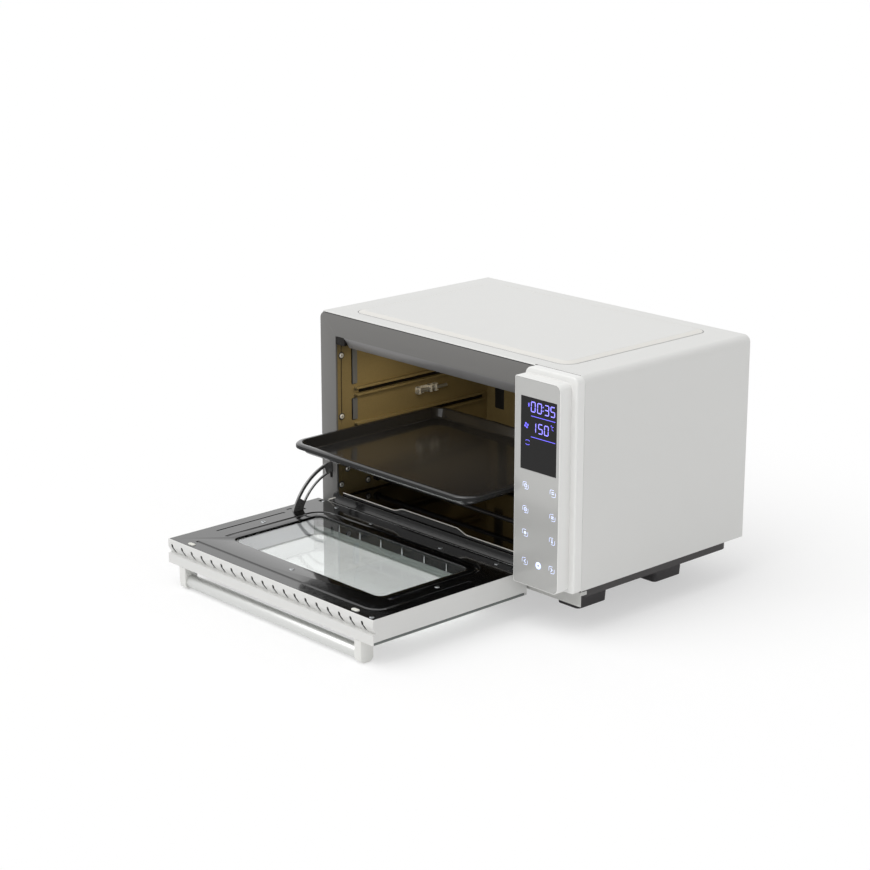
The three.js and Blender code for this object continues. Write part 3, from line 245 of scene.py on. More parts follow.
def thickened(piece, wall):
    """Gives a sheet its wall, on the side away from its normals."""
    modify(piece, "SOLIDIFY", thickness=wall * MM, offset=-1)


def combine(piece, tool, operation="DIFFERENCE"):
    """Cuts a piece with a tool, or welds the tool on, and removes the tool."""
    modify(piece, "BOOLEAN", object=tool, operation=operation, solver="EXACT")
    bpy.data.objects.remove(tool, do_unlink=True)


def joined(pieces, name):
    """Several objects as one mesh."""
    activate(pieces[0])
    for piece in pieces[1:]:
        piece.select_set(True)
    if len(pieces) > 1:
        bpy.ops.object.join()
    return named(name)


def copy_of(piece, name, move=(0, 0, 0)):
    """A copy with its own mesh, moved by millimetres."""
    activate(piece)
    bpy.ops.object.duplicate(linked=False)
    made = named(name)
    made.location += Vector(move) * MM
    bpy.ops.object.transform_apply(location=True, rotation=True, scale=True)
    return made


def rounded(piece, width, test, segments=8):
    """Rounds the edges that the test selects."""
    if pick(piece, "EDGE", test):
        bpy.ops.mesh.bevel(offset=width * MM, segments=segments, affect="EDGES", clamp_overlap=True)


def rounded_box(name, low, high, radius, along="z", segments=8):
    """A box whose four edges along one axis are rounded."""
    piece = new_box(name, low, high)
    rounded(piece, radius, lambda _, way: abs(getattr(way, along)) > ALONG, segments)
    leave_edit()
    return piece


def round_corners(piece, corners, segments):
    """Rounds the edges that run back at given places across and up, each with its own radius."""
    near = 0.1
    for (x, z), radius in corners.items():
        rounded(
            piece, radius,
            lambda p, d, x=x, z=z: abs(d.y) > ALONG and abs(p.x - x) < near and abs(p.z - z) < near,
            segments,
        )


def outline_pipe(name, low, high, radius, height, thickness, cut_test=None, steps=10):
    """A round bar that follows a rounded rectangle, or the part of it that the test leaves."""
    straight = 0.9999
    wire = new_sheet(name, low, high, height)
    pick(wire, "VERT")
    bpy.ops.mesh.bevel(offset=radius * MM, segments=steps, affect="VERTICES", profile=0.5)
    pick(wire, "FACE")
    bpy.ops.mesh.delete(type="ONLY_FACE")
    pick(wire, "EDGE", lambda p, d: max(abs(d.x), abs(d.y)) > straight)
    bpy.ops.mesh.subdivide(number_cuts=9)
    if cut_test:
        cut_away(wire, "VERT", cut_test)
    activate(wire)
    bpy.ops.object.convert(target="CURVE")
    wire.data.bevel_depth = thickness / 2 * MM
    wire.data.bevel_resolution = 4
    wire.data.use_fill_caps = True
    bpy.ops.object.convert(target="MESH")
    edit_all(wire)
    bpy.ops.mesh.remove_doubles(threshold=WELD)
    bpy.ops.mesh.normals_make_consistent(inside=False)
    leave_edit()
    return bpy.context.view_layer.objects.active


FINISHES = {}


def finish_piece(piece, body, slot, finish=None, replaces=(), angle=40):
    """Smooths a piece's shading, gives it its finish and says what carries it."""
    activate(piece)
    bpy.ops.object.shade_smooth_by_angle(angle=math.radians(angle))
    piece.data.materials.clear()
    piece.data.materials.append(FINISHES[finish or slot])
    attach(piece, body)
    if replaces:
        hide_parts(*replaces)


# Finishes


def shade(code):
    """An sRGB hex colour as linear red, green and blue."""
    parts = [int(code[i:i + 2], 16) / 255 for i in (1, 3, 5)]
    return tuple(p / 12.92 if p <= 0.04045 else ((p + 0.055) / 1.055) ** 2.4 for p in parts)


def colour_prop(name, description, code):
    """A colour that a user can change."""
    return FloatVectorProperty(
        name=name, description=description, subtype="COLOR", size=3, min=0, max=1, default=shade(code),
    )


def length_prop(name, description, size, least):
    """A length that a user can change, given in millimetres."""
    return FloatProperty(
        name=name, description=description, default=size * MM, unit="LENGTH", min=least * MM,
    )


class OvenColours(PropertyGroup):
    """Colours of the finishes."""

    lacquer: colour_prop("Cabinet lacquer", "Silver-white powder coat of cabinet and door", "#D7D7D5")
    frame: colour_prop("Front frame", "Satin dark grey of the frame round the mouth", "#6F6E6C")
    skirt: colour_prop("Skirt", "Light grey strip under the frame", "#BDBDBA")
    cavity: colour_prop("Cavity", "Bronze non-stick coating of the cavity", "#857652")
    enamel: colour_prop("Enamel", "Black enamel of door panel and sill", "#0C0C0C")
    housing: colour_prop("Control housing", "White plastic of the control column", "#E6E6E4")
    glass: colour_prop("Control glass", "Grey mirror print behind the control glass", "#B6B6B4")
    display: colour_prop("Display", "Black display window", "#0D0C0C")
    digits: colour_prop("Digits", "Light of the digits", "#8B84FF")
    signs: colour_prop("Signs", "Dimmer light of the lines and small signs", "#625AE0")
    icons: colour_prop("Key marks", "Light of the key marks", "#C2CCEE")
    tray: colour_prop("Baking tray", "Dark grey coating of the baking tray", "#222223")


class OvenSizes(PropertyGroup):
    """Sizes of the visible shapes."""

    cover_corner: length_prop("Cover corner", "Radius of the cabinet's long top edges", 10, 1)
    plateau_rise: length_prop("Plateau rise", "Height of the panel pressed into the top", 3, 0)
    cove_radius: length_prop("Cove radius", "Hollow between the tiers of the control column", 3, 0)
    tray_corner: length_prop("Tray corner", "Corner radius of the baking tray", 28, 5)


def feed(tree, target, inputs):
    """Gives inputs of a node a value or a link each."""
    for key, value in inputs.items():
        if isinstance(value, bpy.types.NodeSocket):
            tree.links.new(value, target.inputs[key])
        else:
            target.inputs[key].default_value = value


def node(tree, kind, inputs=None, **settings):
    """Adds a node with its settings, and feeds its inputs."""
    made = tree.nodes.new(kind)
    for key, value in settings.items():
        setattr(made, key, value)
    feed(tree, made, inputs or {})
    return made


def blank(name):
    """A new material with a Principled shader wired to its output."""
    material = bpy.data.materials.new(name)
    material.use_nodes = True
    tree = material.node_tree
    tree.nodes.clear()
    shader = node(tree, "ShaderNodeBsdfPrincipled")
    node(tree, "ShaderNodeOutputMaterial", {"Surface": shader.outputs["BSDF"]})
    return material, tree, shader


def rewire(tree, surface):
    """Gives the material's output another surface."""
    output = next(n for n in tree.nodes if n.type == "OUTPUT_MATERIAL")
    tree.links.new(surface, output.inputs["Surface"])


def opaque(colour):
    """A colour with full alpha."""
    return (*colour[:3], 1.0)


def scaled(colour, factor):
    """A colour made darker or lighter."""
    return (*[min(1.0, part * factor) for part in colour[:3]], 1.0)


def textured(
    name, colour, roughness, metallic, mottle, mottle_mm, grain_mm, grain_depth,
    stretch=(1, 1, 1), rough_spread=0.05, coat=0.0, coat_rough=0.1, specular=0.5,
):
    """A solid finish: a slow mottle in the colour, a fine grain in the relief and a spread of gloss."""
    least_rough = 0.02
    material, tree, shader = blank(name)
    place = node(tree, "ShaderNodeTexCoord").outputs["Object"]
    turned = node(tree, "ShaderNodeMapping", {"Vector": place, "Scale": stretch}).outputs["Vector"]
    slow, fine = [
        node(
            tree, "ShaderNodeTexNoise", {"Vector": spot, "Scale": 1 / (size * MM), "Detail": detail},
        ).outputs["Fac"]
        for spot, size, detail in ((place, mottle_mm, 3.0), (turned, grain_mm, 2.0))
    ]
    both = node(tree, "ShaderNodeMix", {"Factor": 0.5, 2: slow, 3: fine}, data_type="FLOAT")
    tint = node(
        tree, "ShaderNodeMix",
        {0: both.outputs[0], 6: scaled(colour, 1 - mottle), 7: scaled(colour, 1 + mottle)},
        data_type="RGBA",
    )
    gloss = node(
        tree, "ShaderNodeMapRange",
        {
            "Value": fine, "From Min": 0.3, "From Max": 0.7,
            "To Min": max(least_rough, roughness - rough_spread), "To Max": roughness + rough_spread,
        },
    )
    bump = node(
        tree, "ShaderNodeBump", {"Height": fine, "Strength": 1.0, "Distance": grain_depth * MM},
    )
    feed(tree, shader, {
        "Base Color": tint.outputs[2], "Roughness": gloss.outputs["Result"],
        "Normal": bump.outputs["Normal"],
        "Metallic": metallic, "Specular IOR Level": specular, "Coat Weight": coat,
        "Coat Roughness": coat_rough,
    })
    return material


def clear_glass(name, tint):
    """Clear tempered glass; light from the lamps goes through it to what lies below."""
    material, tree, shader = blank(name)
    feed(tree, shader, {
        "Base Color": opaque(tint), "Roughness": 0.0, "IOR": 1.52, "Transmission Weight": 1.0,
    })
    through = node(tree, "ShaderNodeBsdfTransparent", {"Color": opaque(tint)})
    path = node(tree, "ShaderNodeLightPath")
    mixed = node(
        tree, "ShaderNodeMixShader",
        {0: path.outputs["Is Shadow Ray"], 1: shader.outputs["BSDF"], 2: through.outputs["BSDF"]},
    )
    rewire(tree, mixed.outputs["Shader"])
    return material


def lit(name, colour, strength):
    """A lit mark: light-emitting segments under glass."""
    material, tree, shader = blank(name)
    patch = 2.5 * MM
    place = node(tree, "ShaderNodeTexCoord").outputs["Object"]
    spread = node(tree, "ShaderNodeTexNoise", {"Vector": place, "Scale": 1 / patch, "Detail": 1.0})
    tint = node(
        tree, "ShaderNodeMix",
        {0: spread.outputs["Fac"], 6: scaled(colour, 0.9), 7: scaled(colour, 1.1)},
        data_type="RGBA",
    )
    feed(tree, shader, {
        "Base Color": opaque(colour), "Roughness": 0.3, "Emission Color": tint.outputs[2],
        "Emission Strength": strength,
    })
    return material


# Each coat: its material's name, its colour as a code or a name in OvenColours, its roughness, metallic
# share and mottle, the sizes of mottle and grain and the grain's depth in mm, and what else it has.
# Grain and grit finer than 0.7 mm wouldn't show in a render, so they are drawn that coarse or coarser.
COATS = {
    # Powder-coated steel: satin silver-white with a fine orange peel.
    "silver_paint": ("powder_coated_steel_silver", "lacquer", 0.42, 0.15, 0.015, 40, 1.6, 0.012, {}),
    # Painted light: a paler, slightly warm copy of the powder coat on the plateau's wide slope, for the
    # light that falls on it.
    "slope_painted_light": ("powder_coated_steel_pressed_edge", "#DCDAD5", 0.4, 0.05, 0.015, 40, 1.6, 0.012, {}),
    # Painted shade: a dull dark grey copy of the coat for the thin line of shade at the plateau's foot.
    "groove_painted_shade": ("powder_coated_steel_groove", "#8F8E8C", 0.55, 0, 0.03, 40, 1.6, 0.01, {}),
    # The same powder coat on the door.
    "door_paint": ("powder_coated_steel_door", "lacquer", 0.38, 0.1, 0.012, 40, 1.5, 0.01, {}),
    # Lacquered steel: dark grey, satin, a little metallic flake.
    "frame_paint": ("lacquered_steel_grey", "frame", 0.42, 0.2, 0.03, 40, 0.8, 0.006, {}),
    # Pressed steel strip, light grey lacquer.
    "skirt_paint": ("lacquered_steel_skirt", "skirt", 0.45, 0.1, 0.02, 40, 1.4, 0.008, {}),
    # Hot-rolled pan: black-grey passivation with a dull, cloudy surface; on the dark rings round the cavity
    # screws the same coat is painted shade.
    "dark_steel": ("passivated_steel_dark", "#4A4848", 0.55, 0.5, 0.12, 18, 0.9, 0.01, {}),
    # Moulded rubber: matt grey-black, slightly dusty.
    "foot_rubber": ("moulded_rubber_grey", "#565455", 0.8, 0, 0.1, 12, 0.7, 0.02, {}),
    # Glass-filled nylon: matt black with a spark-eroded grain; on the sheets behind the air bands, the rear
    # slot and the vent slots the same black is painted shade.
    "black_plastic": ("moulded_nylon_black", "#1D1D1D", 0.6, 0, 0.06, 40, 0.9, 0.02, {}),
    # Sprayed non-stick coating: bronze, speckled, semi-gloss.
    "cavity_coating": (
        "nonstick_coating_bronze", "cavity", 0.4, 0.2, 0.28, 1.8, 0.9, 0.01,
        {"rough_spread": 0.1},
    ),
    # Heating element sheath: oxidised nickel alloy, dark with warm patches.
    "heater_sheath": ("oxidised_nickel_alloy", "#3D3B3A", 0.5, 0.7, 0.2, 9, 0.8, 0.01, {}),
    # Zinc-plated steel: bright grey with a faint cloudiness.
    "zinc_steel": ("zinc_plated_steel", "#B9BCBE", 0.28, 1, 0.06, 6, 0.7, 0.004, {}),
    # Painted light and shade: a dull blue grey sheet set flush in the air bands, standing in for the dim
    # steel seen through them.
    "band_painted_steel": ("aluminised_steel_dull", "#77797C", 0.5, 0.4, 0.08, 9, 1.1, 0.006, {}),
    # Die-cast handle ends: pale satin plating.
    "bracket_steel": ("satin_plated_zinc_casting", "#DFDFDC", 0.4, 0.25, 0.03, 9, 1.1, 0.006, {}),
    # Chromed small parts: near mirror, with sharp highlights.
    "polished_steel": ("chromed_steel", "#E6E7E8", 0.12, 1, 0.03, 12, 1.2, 0.003, {"rough_spread": 0.04}),
    # Ground steel: pale, half matt; its near-white colour on the small plated parts is partly painted
    # highlight, standing in for their glint.
    "painted_glint": ("ground_steel_edge", "#E9E6DE", 0.3, 0.35, 0.04, 6, 0.9, 0.004, {}),
    # Painted light: a paler copy of the frame's grey lacquer on the lip under the header, for the light it
    # catches.
    "lip_painted_light": ("lacquered_steel_lip", "#7C7B7B", 0.38, 0.3, 0.03, 40, 0.8, 0.006, {}),
    # Painted shade: a near-black coating in the tray guides' grooves, along the jamb seam, in the cover and
    # column joints and in the lip's corner.
    "cavity_shade": ("nonstick_coating_sooted", "#14110E", 0.6, 0, 0.15, 3, 0.9, 0.01, {"specular": 0.25}),
    # Oiled spring-steel plate: grey, its edges catching the light.
    "arm_steel": ("oiled_spring_steel", "#8F8F8E", 0.25, 0.6, 0.08, 8, 0.9, 0.004, {}),
    # Painted light: a pale, faintly violet copy of the liner's steel on its side that faces the light.
    "liner_painted_light": ("aluminised_steel_pale", "#D6D6DA", 0.4, 0.1, 0.03, 12, 1, 0.004, {}),
    # Silicone: white, half matt.
    "silicone": ("moulded_silicone_white", "#DCDCD6", 0.5, 0, 0.03, 5, 0.8, 0.008, {}),
    # Cut edge of the door's outer pane: dark grey green.
    "pane_edge": ("cut_glass_edge_green", "#565C59", 0.3, 0, 0.08, 10, 1.2, 0.005, {"coat": 0.2}),
    # Aluminised liner round the panes.
    "liner_steel": ("aluminised_steel_liner", "#8D9390", 0.45, 0.4, 0.04, 14, 1, 0.005, {}),
    # Brushed stainless steel: fine lines along its length.
    "bright_steel": (
        "brushed_stainless_steel", "#D6D7D5", 0.38, 0.8, 0.05, 30, 0.9, 0.006,
        {"stretch": (0.04, 1, 1)},
    ),
    # Baking tray coating: dark grey, slightly glossy, fine grit.
    "tray_coating": (
        "nonstick_coating_grey", "tray", 0.17, 0, 0.12, 1.3, 0.8, 0.01,
        {"rough_spread": 0.06, "coat": 0.6, "coat_rough": 0.12},
    ),
    # Painted shade: the outward faces of the tray's folded skirt in a matt, darker copy of the same
    # coating.
    "tray_fold": (
        "nonstick_coating_grey_matt", "#171717", 0.5, 0, 0.12, 1.3, 0.8, 0.01,
        {"specular": 0.25},
    ),
    # Moulded ABS: glossy white, very slightly wavy.
    "white_plastic": ("moulded_abs_white", "housing", 0.24, 0, 0.008, 60, 9, 0.02, {"rough_spread": 0.02}),
    # Tempered glass with a grey mirror print behind it.
    "panel_glass": (
        "tempered_glass_grey_print", "glass", 0.16, 0.15, 0.01, 90, 60, 0.02,
        {"rough_spread": 0.01, "coat": 0.3, "coat_rough": 0.04},
    ),
    # Display window: black tinted glass, mirror smooth.
    "black_glass": (
        "tinted_glass_black", "display", 0.12, 0, 0.05, 60, 50, 0.01,
        {"rough_spread": 0.01, "specular": 0.25},
    ),
    # Circuit board: green solder mask on woven glass.
    "circuit_board": ("solder_mask_green", "#2F5D3A", 0.4, 0, 0.1, 5, 0.7, 0.01, {}),
    # Vitreous enamel: black glass fused on steel, glossy and faintly wavy.
    "black_enamel": (
        "vitreous_enamel_black", "enamel", 0.12, 0, 0.1, 30, 7, 0.02,
        {"rough_spread": 0.02, "coat": 0.5, "coat_rough": 0.04},
    ),
}


class OVEN_OT_finishes(Operator):
    """Makes every finish and gives it to the solids that keep their own shape"""

    bl_idname = "oven.finishes"
    bl_label = "Finishes"

    def execute(self, context):
        look = context.scene.oven_colours
        for slot, (name, colour, *values, rest) in COATS.items():
            tint = shade(colour) if colour.startswith("#") else getattr(look, colour)
            FINISHES[slot] = textured(name, tint, *values, **rest)
        # Tempered soda-lime panes: clear with a faint green.
        FINISHES["pane_glass"] = clear_glass("tempered_soda_lime_glass", shade("#FAFCFB"))
        # Light-emitting segments and key marks.
        FINISHES["digits"] = lit("lit_segments_violet", look.digits, 1.0)
        FINISHES["signs"] = lit("lit_signs_violet", look.signs, 1.0)
        FINISHES["icons"] = lit("lit_key_marks_white", look.icons, 0.95)
        for solid in frame["nodes"].values():
            old = solid.material_slots[0].material.name.split(".")[0]
            if old in FINISHES:
                solid.material_slots[0].material = FINISHES[old]
        return {"FINISHED"}


# Cabinet


# How far a cutting block reaches past what it cuts.
OVERRUN = 5


def plateau_outline(name, height, thickness):
    """A bar just outside the plateau's foot."""
    gap = 0.6
    low = [edge - gap for edge in PLATEAU_LOW]
    high = [edge + gap for edge in PLATEAU_HIGH]
    return outline_pipe(name, low, high, PLATEAU_CORNER + gap, height, thickness)


class OVEN_OT_wrapper(Operator):
    """Wrapper sheet: sides and top in one piece, with the pressed plateau and the rolled front edge"""

    bl_idname = "oven.wrapper"
    bl_label = "Wrapper"

    def execute(self, context):
        sizes = context.scene.oven_sizes
        wall, nose, drop = 0.8, 1.6, 1.8
        sheet = new_box(
            "wrapper_cover", (0, 0, COVER_BOTTOM), (CABINET_WIDTH, CABINET_DEPTH, CABINET_TOP),
        )
        cut_away(sheet, "FACE", lambda p, n: n.z < -ASIDE or abs(n.y) > ASIDE)
        rounded(
            sheet, sizes.cover_corner / MM, lambda p, d: abs(d.y) > ALONG and p.z > CABINET_TOP - 1, 12,
        )
        # The left side ends behind the front frame; the top runs on over it and folds down.
        pick(
            sheet, "VERT",
            lambda p, n: p.y < 1 and p.z < CABINET_TOP - 0.4 and p.x < CABINET_WIDTH / 2,
        )
        shift(0, FRAME_BACK + 0.3, 0)
        pick(sheet, "EDGE", lambda p, d: p.y < 1 and abs(d.x) > ALONG)
        bpy.ops.mesh.extrude_edges_move(TRANSFORM_OT_translate={"value": (0, 0, -drop * MM)})
        rounded(sheet, nose, lambda p, d: p.y < 1 and abs(d.x) > ALONG and p.z > CABINET_TOP - 0.1, 10)
        thickened(sheet, wall)
        plateau = new_box("plateau", (*PLATEAU_LOW, CABINET_TOP - wall / 2), (*PLATEAU_HIGH, CABINET_TOP))
        rounded(plateau, PLATEAU_CORNER, lambda p, d: abs(d.z) > ALONG, 12)
        pick(plateau, "FACE", lambda p, n: n.z > ALONG)
        for inset, share in ((0.6, 0.14), (8.4, 0.76), (0.8, 0.1)):
            bpy.ops.mesh.inset(thickness=inset * MM, depth=sizes.plateau_rise * share)
        # The wide slope alone, a hair above the plateau, carries a paler copy of the coat: painted light.
        edge = copy_of(plateau, "plateau_edge", (0, 0, 0.06))
        cut_away(edge, "FACE", lambda p, n: not 0.955 < n.z < 0.975)
        thickened(edge, 0.4)
        finish_piece(edge, "cabinet", "silver_paint", "slope_painted_light", angle=12)
        combine(sheet, plateau, "UNION")
        combine(sheet, plateau_outline("groove", CABINET_TOP + 0.25, 1.6))
        finish_piece(sheet, "cabinet", "silver_paint", replaces=["cabinet_cover"], angle=12)
        # A dark pipe half sunk at the plateau's foot: a painted line of shade.
        line = plateau_outline("plateau_line", CABINET_TOP - 0.45, 1.2)
        finish_piece(line, "cabinet", "silver_paint", "groove_painted_shade")
        # Dark rods along the seams: painted shade for the shadow in the joints.
        for name, left, right, y, z, thick, soft in (
            ("column_joint", 432, 512, -0.15, 349.75, 0.9, 0.2),
            ("cover_joint", 9, 427, 0.9, 347.6, 1.6, 0.3),
        ):
            joint = new_rod(name, (left, y, z), (right, y, z), thick, 12)
            rounded(joint, soft, lambda p, d: abs(d.x) < ASIDE, 2)
            finish_piece(joint, "cabinet", "black_plastic", "cavity_shade")
        return {"FINISHED"}


def mouth_tool(top):
    """A block as wide as the mouth, with its lower corners rounded, up to a height."""
    tool = new_box("mouth_tool", (MOUTH_LEFT, -OVERRUN, MOUTH_BOTTOM), (MOUTH_RIGHT, 9, top))
    rounded(tool, 6, lambda p, d: abs(d.y) > ALONG and p.z < MOUTH_BOTTOM + 1, 8)
    return tool


class OVEN_OT_front_frame(Operator):
    """Front frame: grey plate with the mouth, sloped lip, and the enamelled sill"""

    bl_idname = "oven.front_frame"
    bl_label = "Front frame"

    def execute(self, context):
        corner = 9
        plate = new_box("front_frame_plate", (0, 0, FRAME_BOTTOM), (FRAME_RIGHT, FRAME_BACK, FRAME_TOP))
        rounded(plate, corner, lambda p, d: abs(d.y) > ALONG and p.z > FRAME_TOP - 1, 10)
        mouth = mouth_tool(CREASE)
        rounded(mouth, 3, lambda p, d: abs(d.y) > ALONG and p.z > CREASE - 1, 5)
        combine(plate, mouth)
        rounded(plate, 0.7, lambda p, d: p.y < 0.01, 3)
        combine(plate, rounded_box(
            "arm_slot", (ARM_ACROSS - ARM_GAP, -OVERRUN, 102.5), (ARM_ACROSS + ARM_GAP, 8, 128.8),
            1, "y", 3,
        ))
        combine(plate, new_rod("crease", (MOUTH_LEFT, 0, CREASE), (MOUTH_RIGHT + 6, 0, CREASE), 1.1, 12))
        finish_piece(plate, "cabinet", "frame_paint", replaces=["front_frame"])
        # The lip is a separate piece in a paler copy of the frame's lacquer: painted light.
        lip_left = MOUTH_LEFT + 18
        lip = new_box("mouth_lip", (lip_left, 0.5, LIP_BOTTOM), (MOUTH_RIGHT - 0.3, 11, CREASE + 0.2))
        pick(lip, "EDGE", lambda p, d: abs(d.x) > ALONG and p.y < 0.6 and p.z < LIP_BOTTOM + 0.1)
        shift(0, 0, CREASE - LIP_BOTTOM - 0.6)
        rounded(lip, 1.2, lambda p, d: abs(d.x) > ALONG and p.y > 9 and p.z < LIP_BOTTOM + 0.1, 4)
        rounded(lip, 0.5, lambda p, d: p.x < lip_left + 0.1 and abs(d.x) < 0.1, 3)
        finish_piece(lip, "cabinet", "frame_paint", "lip_painted_light")
        # A dark block in the lip's left corner: painted shade.
        notch = rounded_box(
            "lip_end", (MOUTH_LEFT + 0.2, 1.0, MOUTH_TOP - 2), (lip_left + 0.5, 9.5, CREASE), 1.5, "y", 4,
        )
        rounded(notch, 0.5, lambda p, d: p.y < 1.1, 2)
        finish_piece(notch, "cabinet", "black_plastic", "cavity_shade")
        sill_top = 84
        sill = new_box("sill_flange", (24, -0.35, FRAME_BOTTOM + 0.2), (411, 0.6, sill_top))
        rounded(sill, corner, lambda p, d: abs(d.y) > ALONG and p.z > sill_top - 4, 8)
        combine(sill, mouth_tool(sill_top + 11))
        for name, left, right, y, z, thick in (
            ("upper_roll", 39, 396, 1.4, 76.6, 3.0), ("lower_roll", 30, 405, 0.9, 66.5, 3.4),
        ):
            combine(sill, new_rod(name, (left, y, z), (right, y, z), thick, 24), "UNION")
        finish_piece(sill, "cabinet", "black_enamel")
        return {"FINISHED"}


# Cavity


# Lower and upper ends of the air bands, and the middles of the tray guides.
AIR_BANDS = ((132.4, 165.8), (185.8, 219.1), (239.1, 294.0))
GUIDES = (122.4, 175.76, 229.1)


class OVEN_OT_cavity_details(Operator):
    """Painted light and shade in the cavity: grey sheets in the air bands, black sheets behind them and the
    rear slot, guide beads, dark grooves, and thermostat clip
    """

    bl_idname = "oven.cavity_details"
    bl_label = "Cavity details"

    def execute(self, context):
        # Grey sheets flush in the air bands are painted light and shade for the steel seen through them;
        # the black sheets behind them are painted shade.
        backs = joined([
            rounded_box("band_back", (32.2, 31.4, low + 1), (33.3, 40.2, high - 1), 0.8, "x", 3)
            for low, high in AIR_BANDS
        ], "band_backing")
        finish_piece(backs, "cabinet", "zinc_steel", "band_painted_steel")
        shade_screens = joined([
            rounded_box("band_screen", (24.5, 27.0, low - 3), (25.6, 58.0, high + 3), 2, "x", 4)
            for low, high in AIR_BANDS
        ], "band_screens")
        finish_piece(shade_screens, "cabinet", "black_plastic")
        # A black sheet behind the rear slot: painted shade.
        slot = rounded_box("slot_backing", (47, 302.6, 154), (73, 303.8, 299), 2, "y", 4)
        rounded(slot, 0.3, lambda p, d: p.y < 302.7, 2)
        finish_piece(slot, "cabinet", "black_plastic")
        ribs = joined([
            new_rod("rib", (38.6, 36, middle + half), (38.6, 290, middle + half), 3.2, 16)
            for middle in GUIDES for half in (-5, 5)
        ], "guide_rib_beads")
        finish_piece(ribs, "cabinet", "cavity_coating")
        # Dark grooves between the guide beads and a dark seam at the jamb: painted shade.
        grooves = [
            rounded_box("groove", (33.2, 42, middle - 2.6), (35.2, 289, middle + 2.6), 1.0, "x", 4)
            for middle in GUIDES
        ]
        seam = new_rod("seam", (33.1, 10.4, 304), (33.1, 10.0, 198), 0.9, 10)
        dark = joined([*grooves, seam], "guide_grooves")
        finish_piece(dark, "cabinet", "cavity_coating", "cavity_shade")
        wall, lug, sheet, foot = 33.4, 34.2, 1.4, 203.2
        bits = [rounded_box("clip_plate", (wall, 153, 203), (wall + 1.6, 193, 213.6), 1.5, "x", 4)]
        for near, far, top, reach in (
            (153.4, 159, 214.2, 9.5), (163, 166, 211, 6.5), (176, 181, 214.2, 10), (186, 192.5, 214.2, 10),
        ):
            for name, start, end, corner, along in (
                ("lug", (near, foot + 0.4), (reach, near + sheet, top), 1.6, "y"),
                ("lug_foot", (near, foot), (reach * 0.8, far, foot + sheet), 1.0, "z"),
                ("lug_top", (near, top - sheet), (reach * 0.7, far, top), 1.0, "z"),
            ):
                bits.append(rounded_box(name, (lug, *start), (lug + end[0], *end[1:]), corner, along, 4))
        for y in (156.5, 189.5):
            bits.append(new_rod("clip_screw", (wall + 1.4, y, 208.4), (wall + 3, y, 208.4), 5.4, 20))
        clip = joined(bits, "thermostat_clip_bright")
        finish_piece(clip, "cabinet", "bright_steel", "painted_glint", ["thermostat_clip"], 30)
        return {"FINISHED"}


class OVEN_OT_crumb_edge(Operator):
    """Bright rolled edge along the front of the crumb tray, rising over its finger tab"""

    bl_idname = "oven.crumb_edge"
    bl_label = "Crumb tray edge"

    def execute(self, context):
        left, right = 40.6, 394.4
        tab_left, tab_right, slope = 172.0, 278.0, 24.0
        near, low, high = 5.2, 82.6, 88.6
        edge = new_rod("crumb_edge", (left, near, low), (right, near, low), 1.6, 12)
        cuts, width = 60, tab_right - tab_left + 2 * slope
        places = [tab_left - slope + width * index / cuts for index in range(1, cuts)]
        sliced(edge, "x", places)
        for across in places:
            inward = min(across - (tab_left - slope), tab_right + slope - across)
            share = 0.5 - 0.5 * math.cos(math.pi * min(1.0, inward / slope))
            pick(edge, "VERT", lambda p, n, across=across: abs(p.x - across) < 0.05)
            shift(0, 0, (high - low) * share)
        finish_piece(edge, "cabinet", "bright_steel", "painted_glint")
        return {"FINISHED"}


class OVEN_OT_stay_arm(Operator):
    """Door stay: curved steel plate with a long slot, one end in the door and one in the frame"""

    bl_idname = "oven.stay_arm"
    bl_label = "Stay arm"

    def execute(self, context):
        pivot = (ARM_ACROSS, 15.75, 35.95)
        # Edges of the arm and of its slot, as distances from the pivot and angles about it.
        inner, slot_inner, slot_outer, outer = 77.0, 80.0, 89.2, 94.0
        start, end, steps = 164.0, 94.6, 34
        slot_end, slot_start = 108.0, 147.0
        arm = new_sheet(
            "stay_arm", (ARM_ACROSS, pivot[1] - outer), (ARM_ACROSS + 5, pivot[1] - inner), pivot[2],
        )
        cut_away(arm, "VERT", lambda p, n: p.x > ARM_ACROSS + 1)
        pick(arm, "EDGE")
        bpy.ops.mesh.subdivide(number_cuts=2)
        third = (outer - inner) / 3
        for old, new in ((inner + third, slot_inner), (inner + 2 * third, slot_outer)):
            pick(arm, "VERT", lambda p, n, old=old: abs(p.y - (pivot[1] - old)) < 0.05)
            shift(0, old - new, 0)
        pick(arm, "VERT")
        turn("X", 180 - start, pivot)
        bpy.ops.mesh.spin(
            steps=steps, dupli=False, angle=math.radians(start - end), center=at(*pivot), axis=(1, 0, 0),
        )
        bpy.ops.mesh.select_all(action="SELECT")
        bpy.ops.mesh.remove_doubles(threshold=WELD)

        def in_slot(place, _):
            y, z = place.y - pivot[1], place.z - pivot[2]
            angle = math.degrees(math.atan2(z, y))
            return slot_inner < math.hypot(y, z) < slot_outer and slot_end < angle < slot_start
        cut_away(arm, "FACE", in_slot)
        bpy.ops.mesh.select_all(action="SELECT")
        bpy.ops.mesh.normals_make_consistent(inside=False)
        leave_edit()
        modify(arm, "SOLIDIFY", thickness=2.6 * MM, offset=0)
        modify(arm, "BEVEL", width=0.35 * MM, segments=2, limit_method="ANGLE")
        finish_piece(arm, "door", "zinc_steel", "arm_steel", ["stay_arm_left"], 35)
        return {"FINISHED"}


# Control column


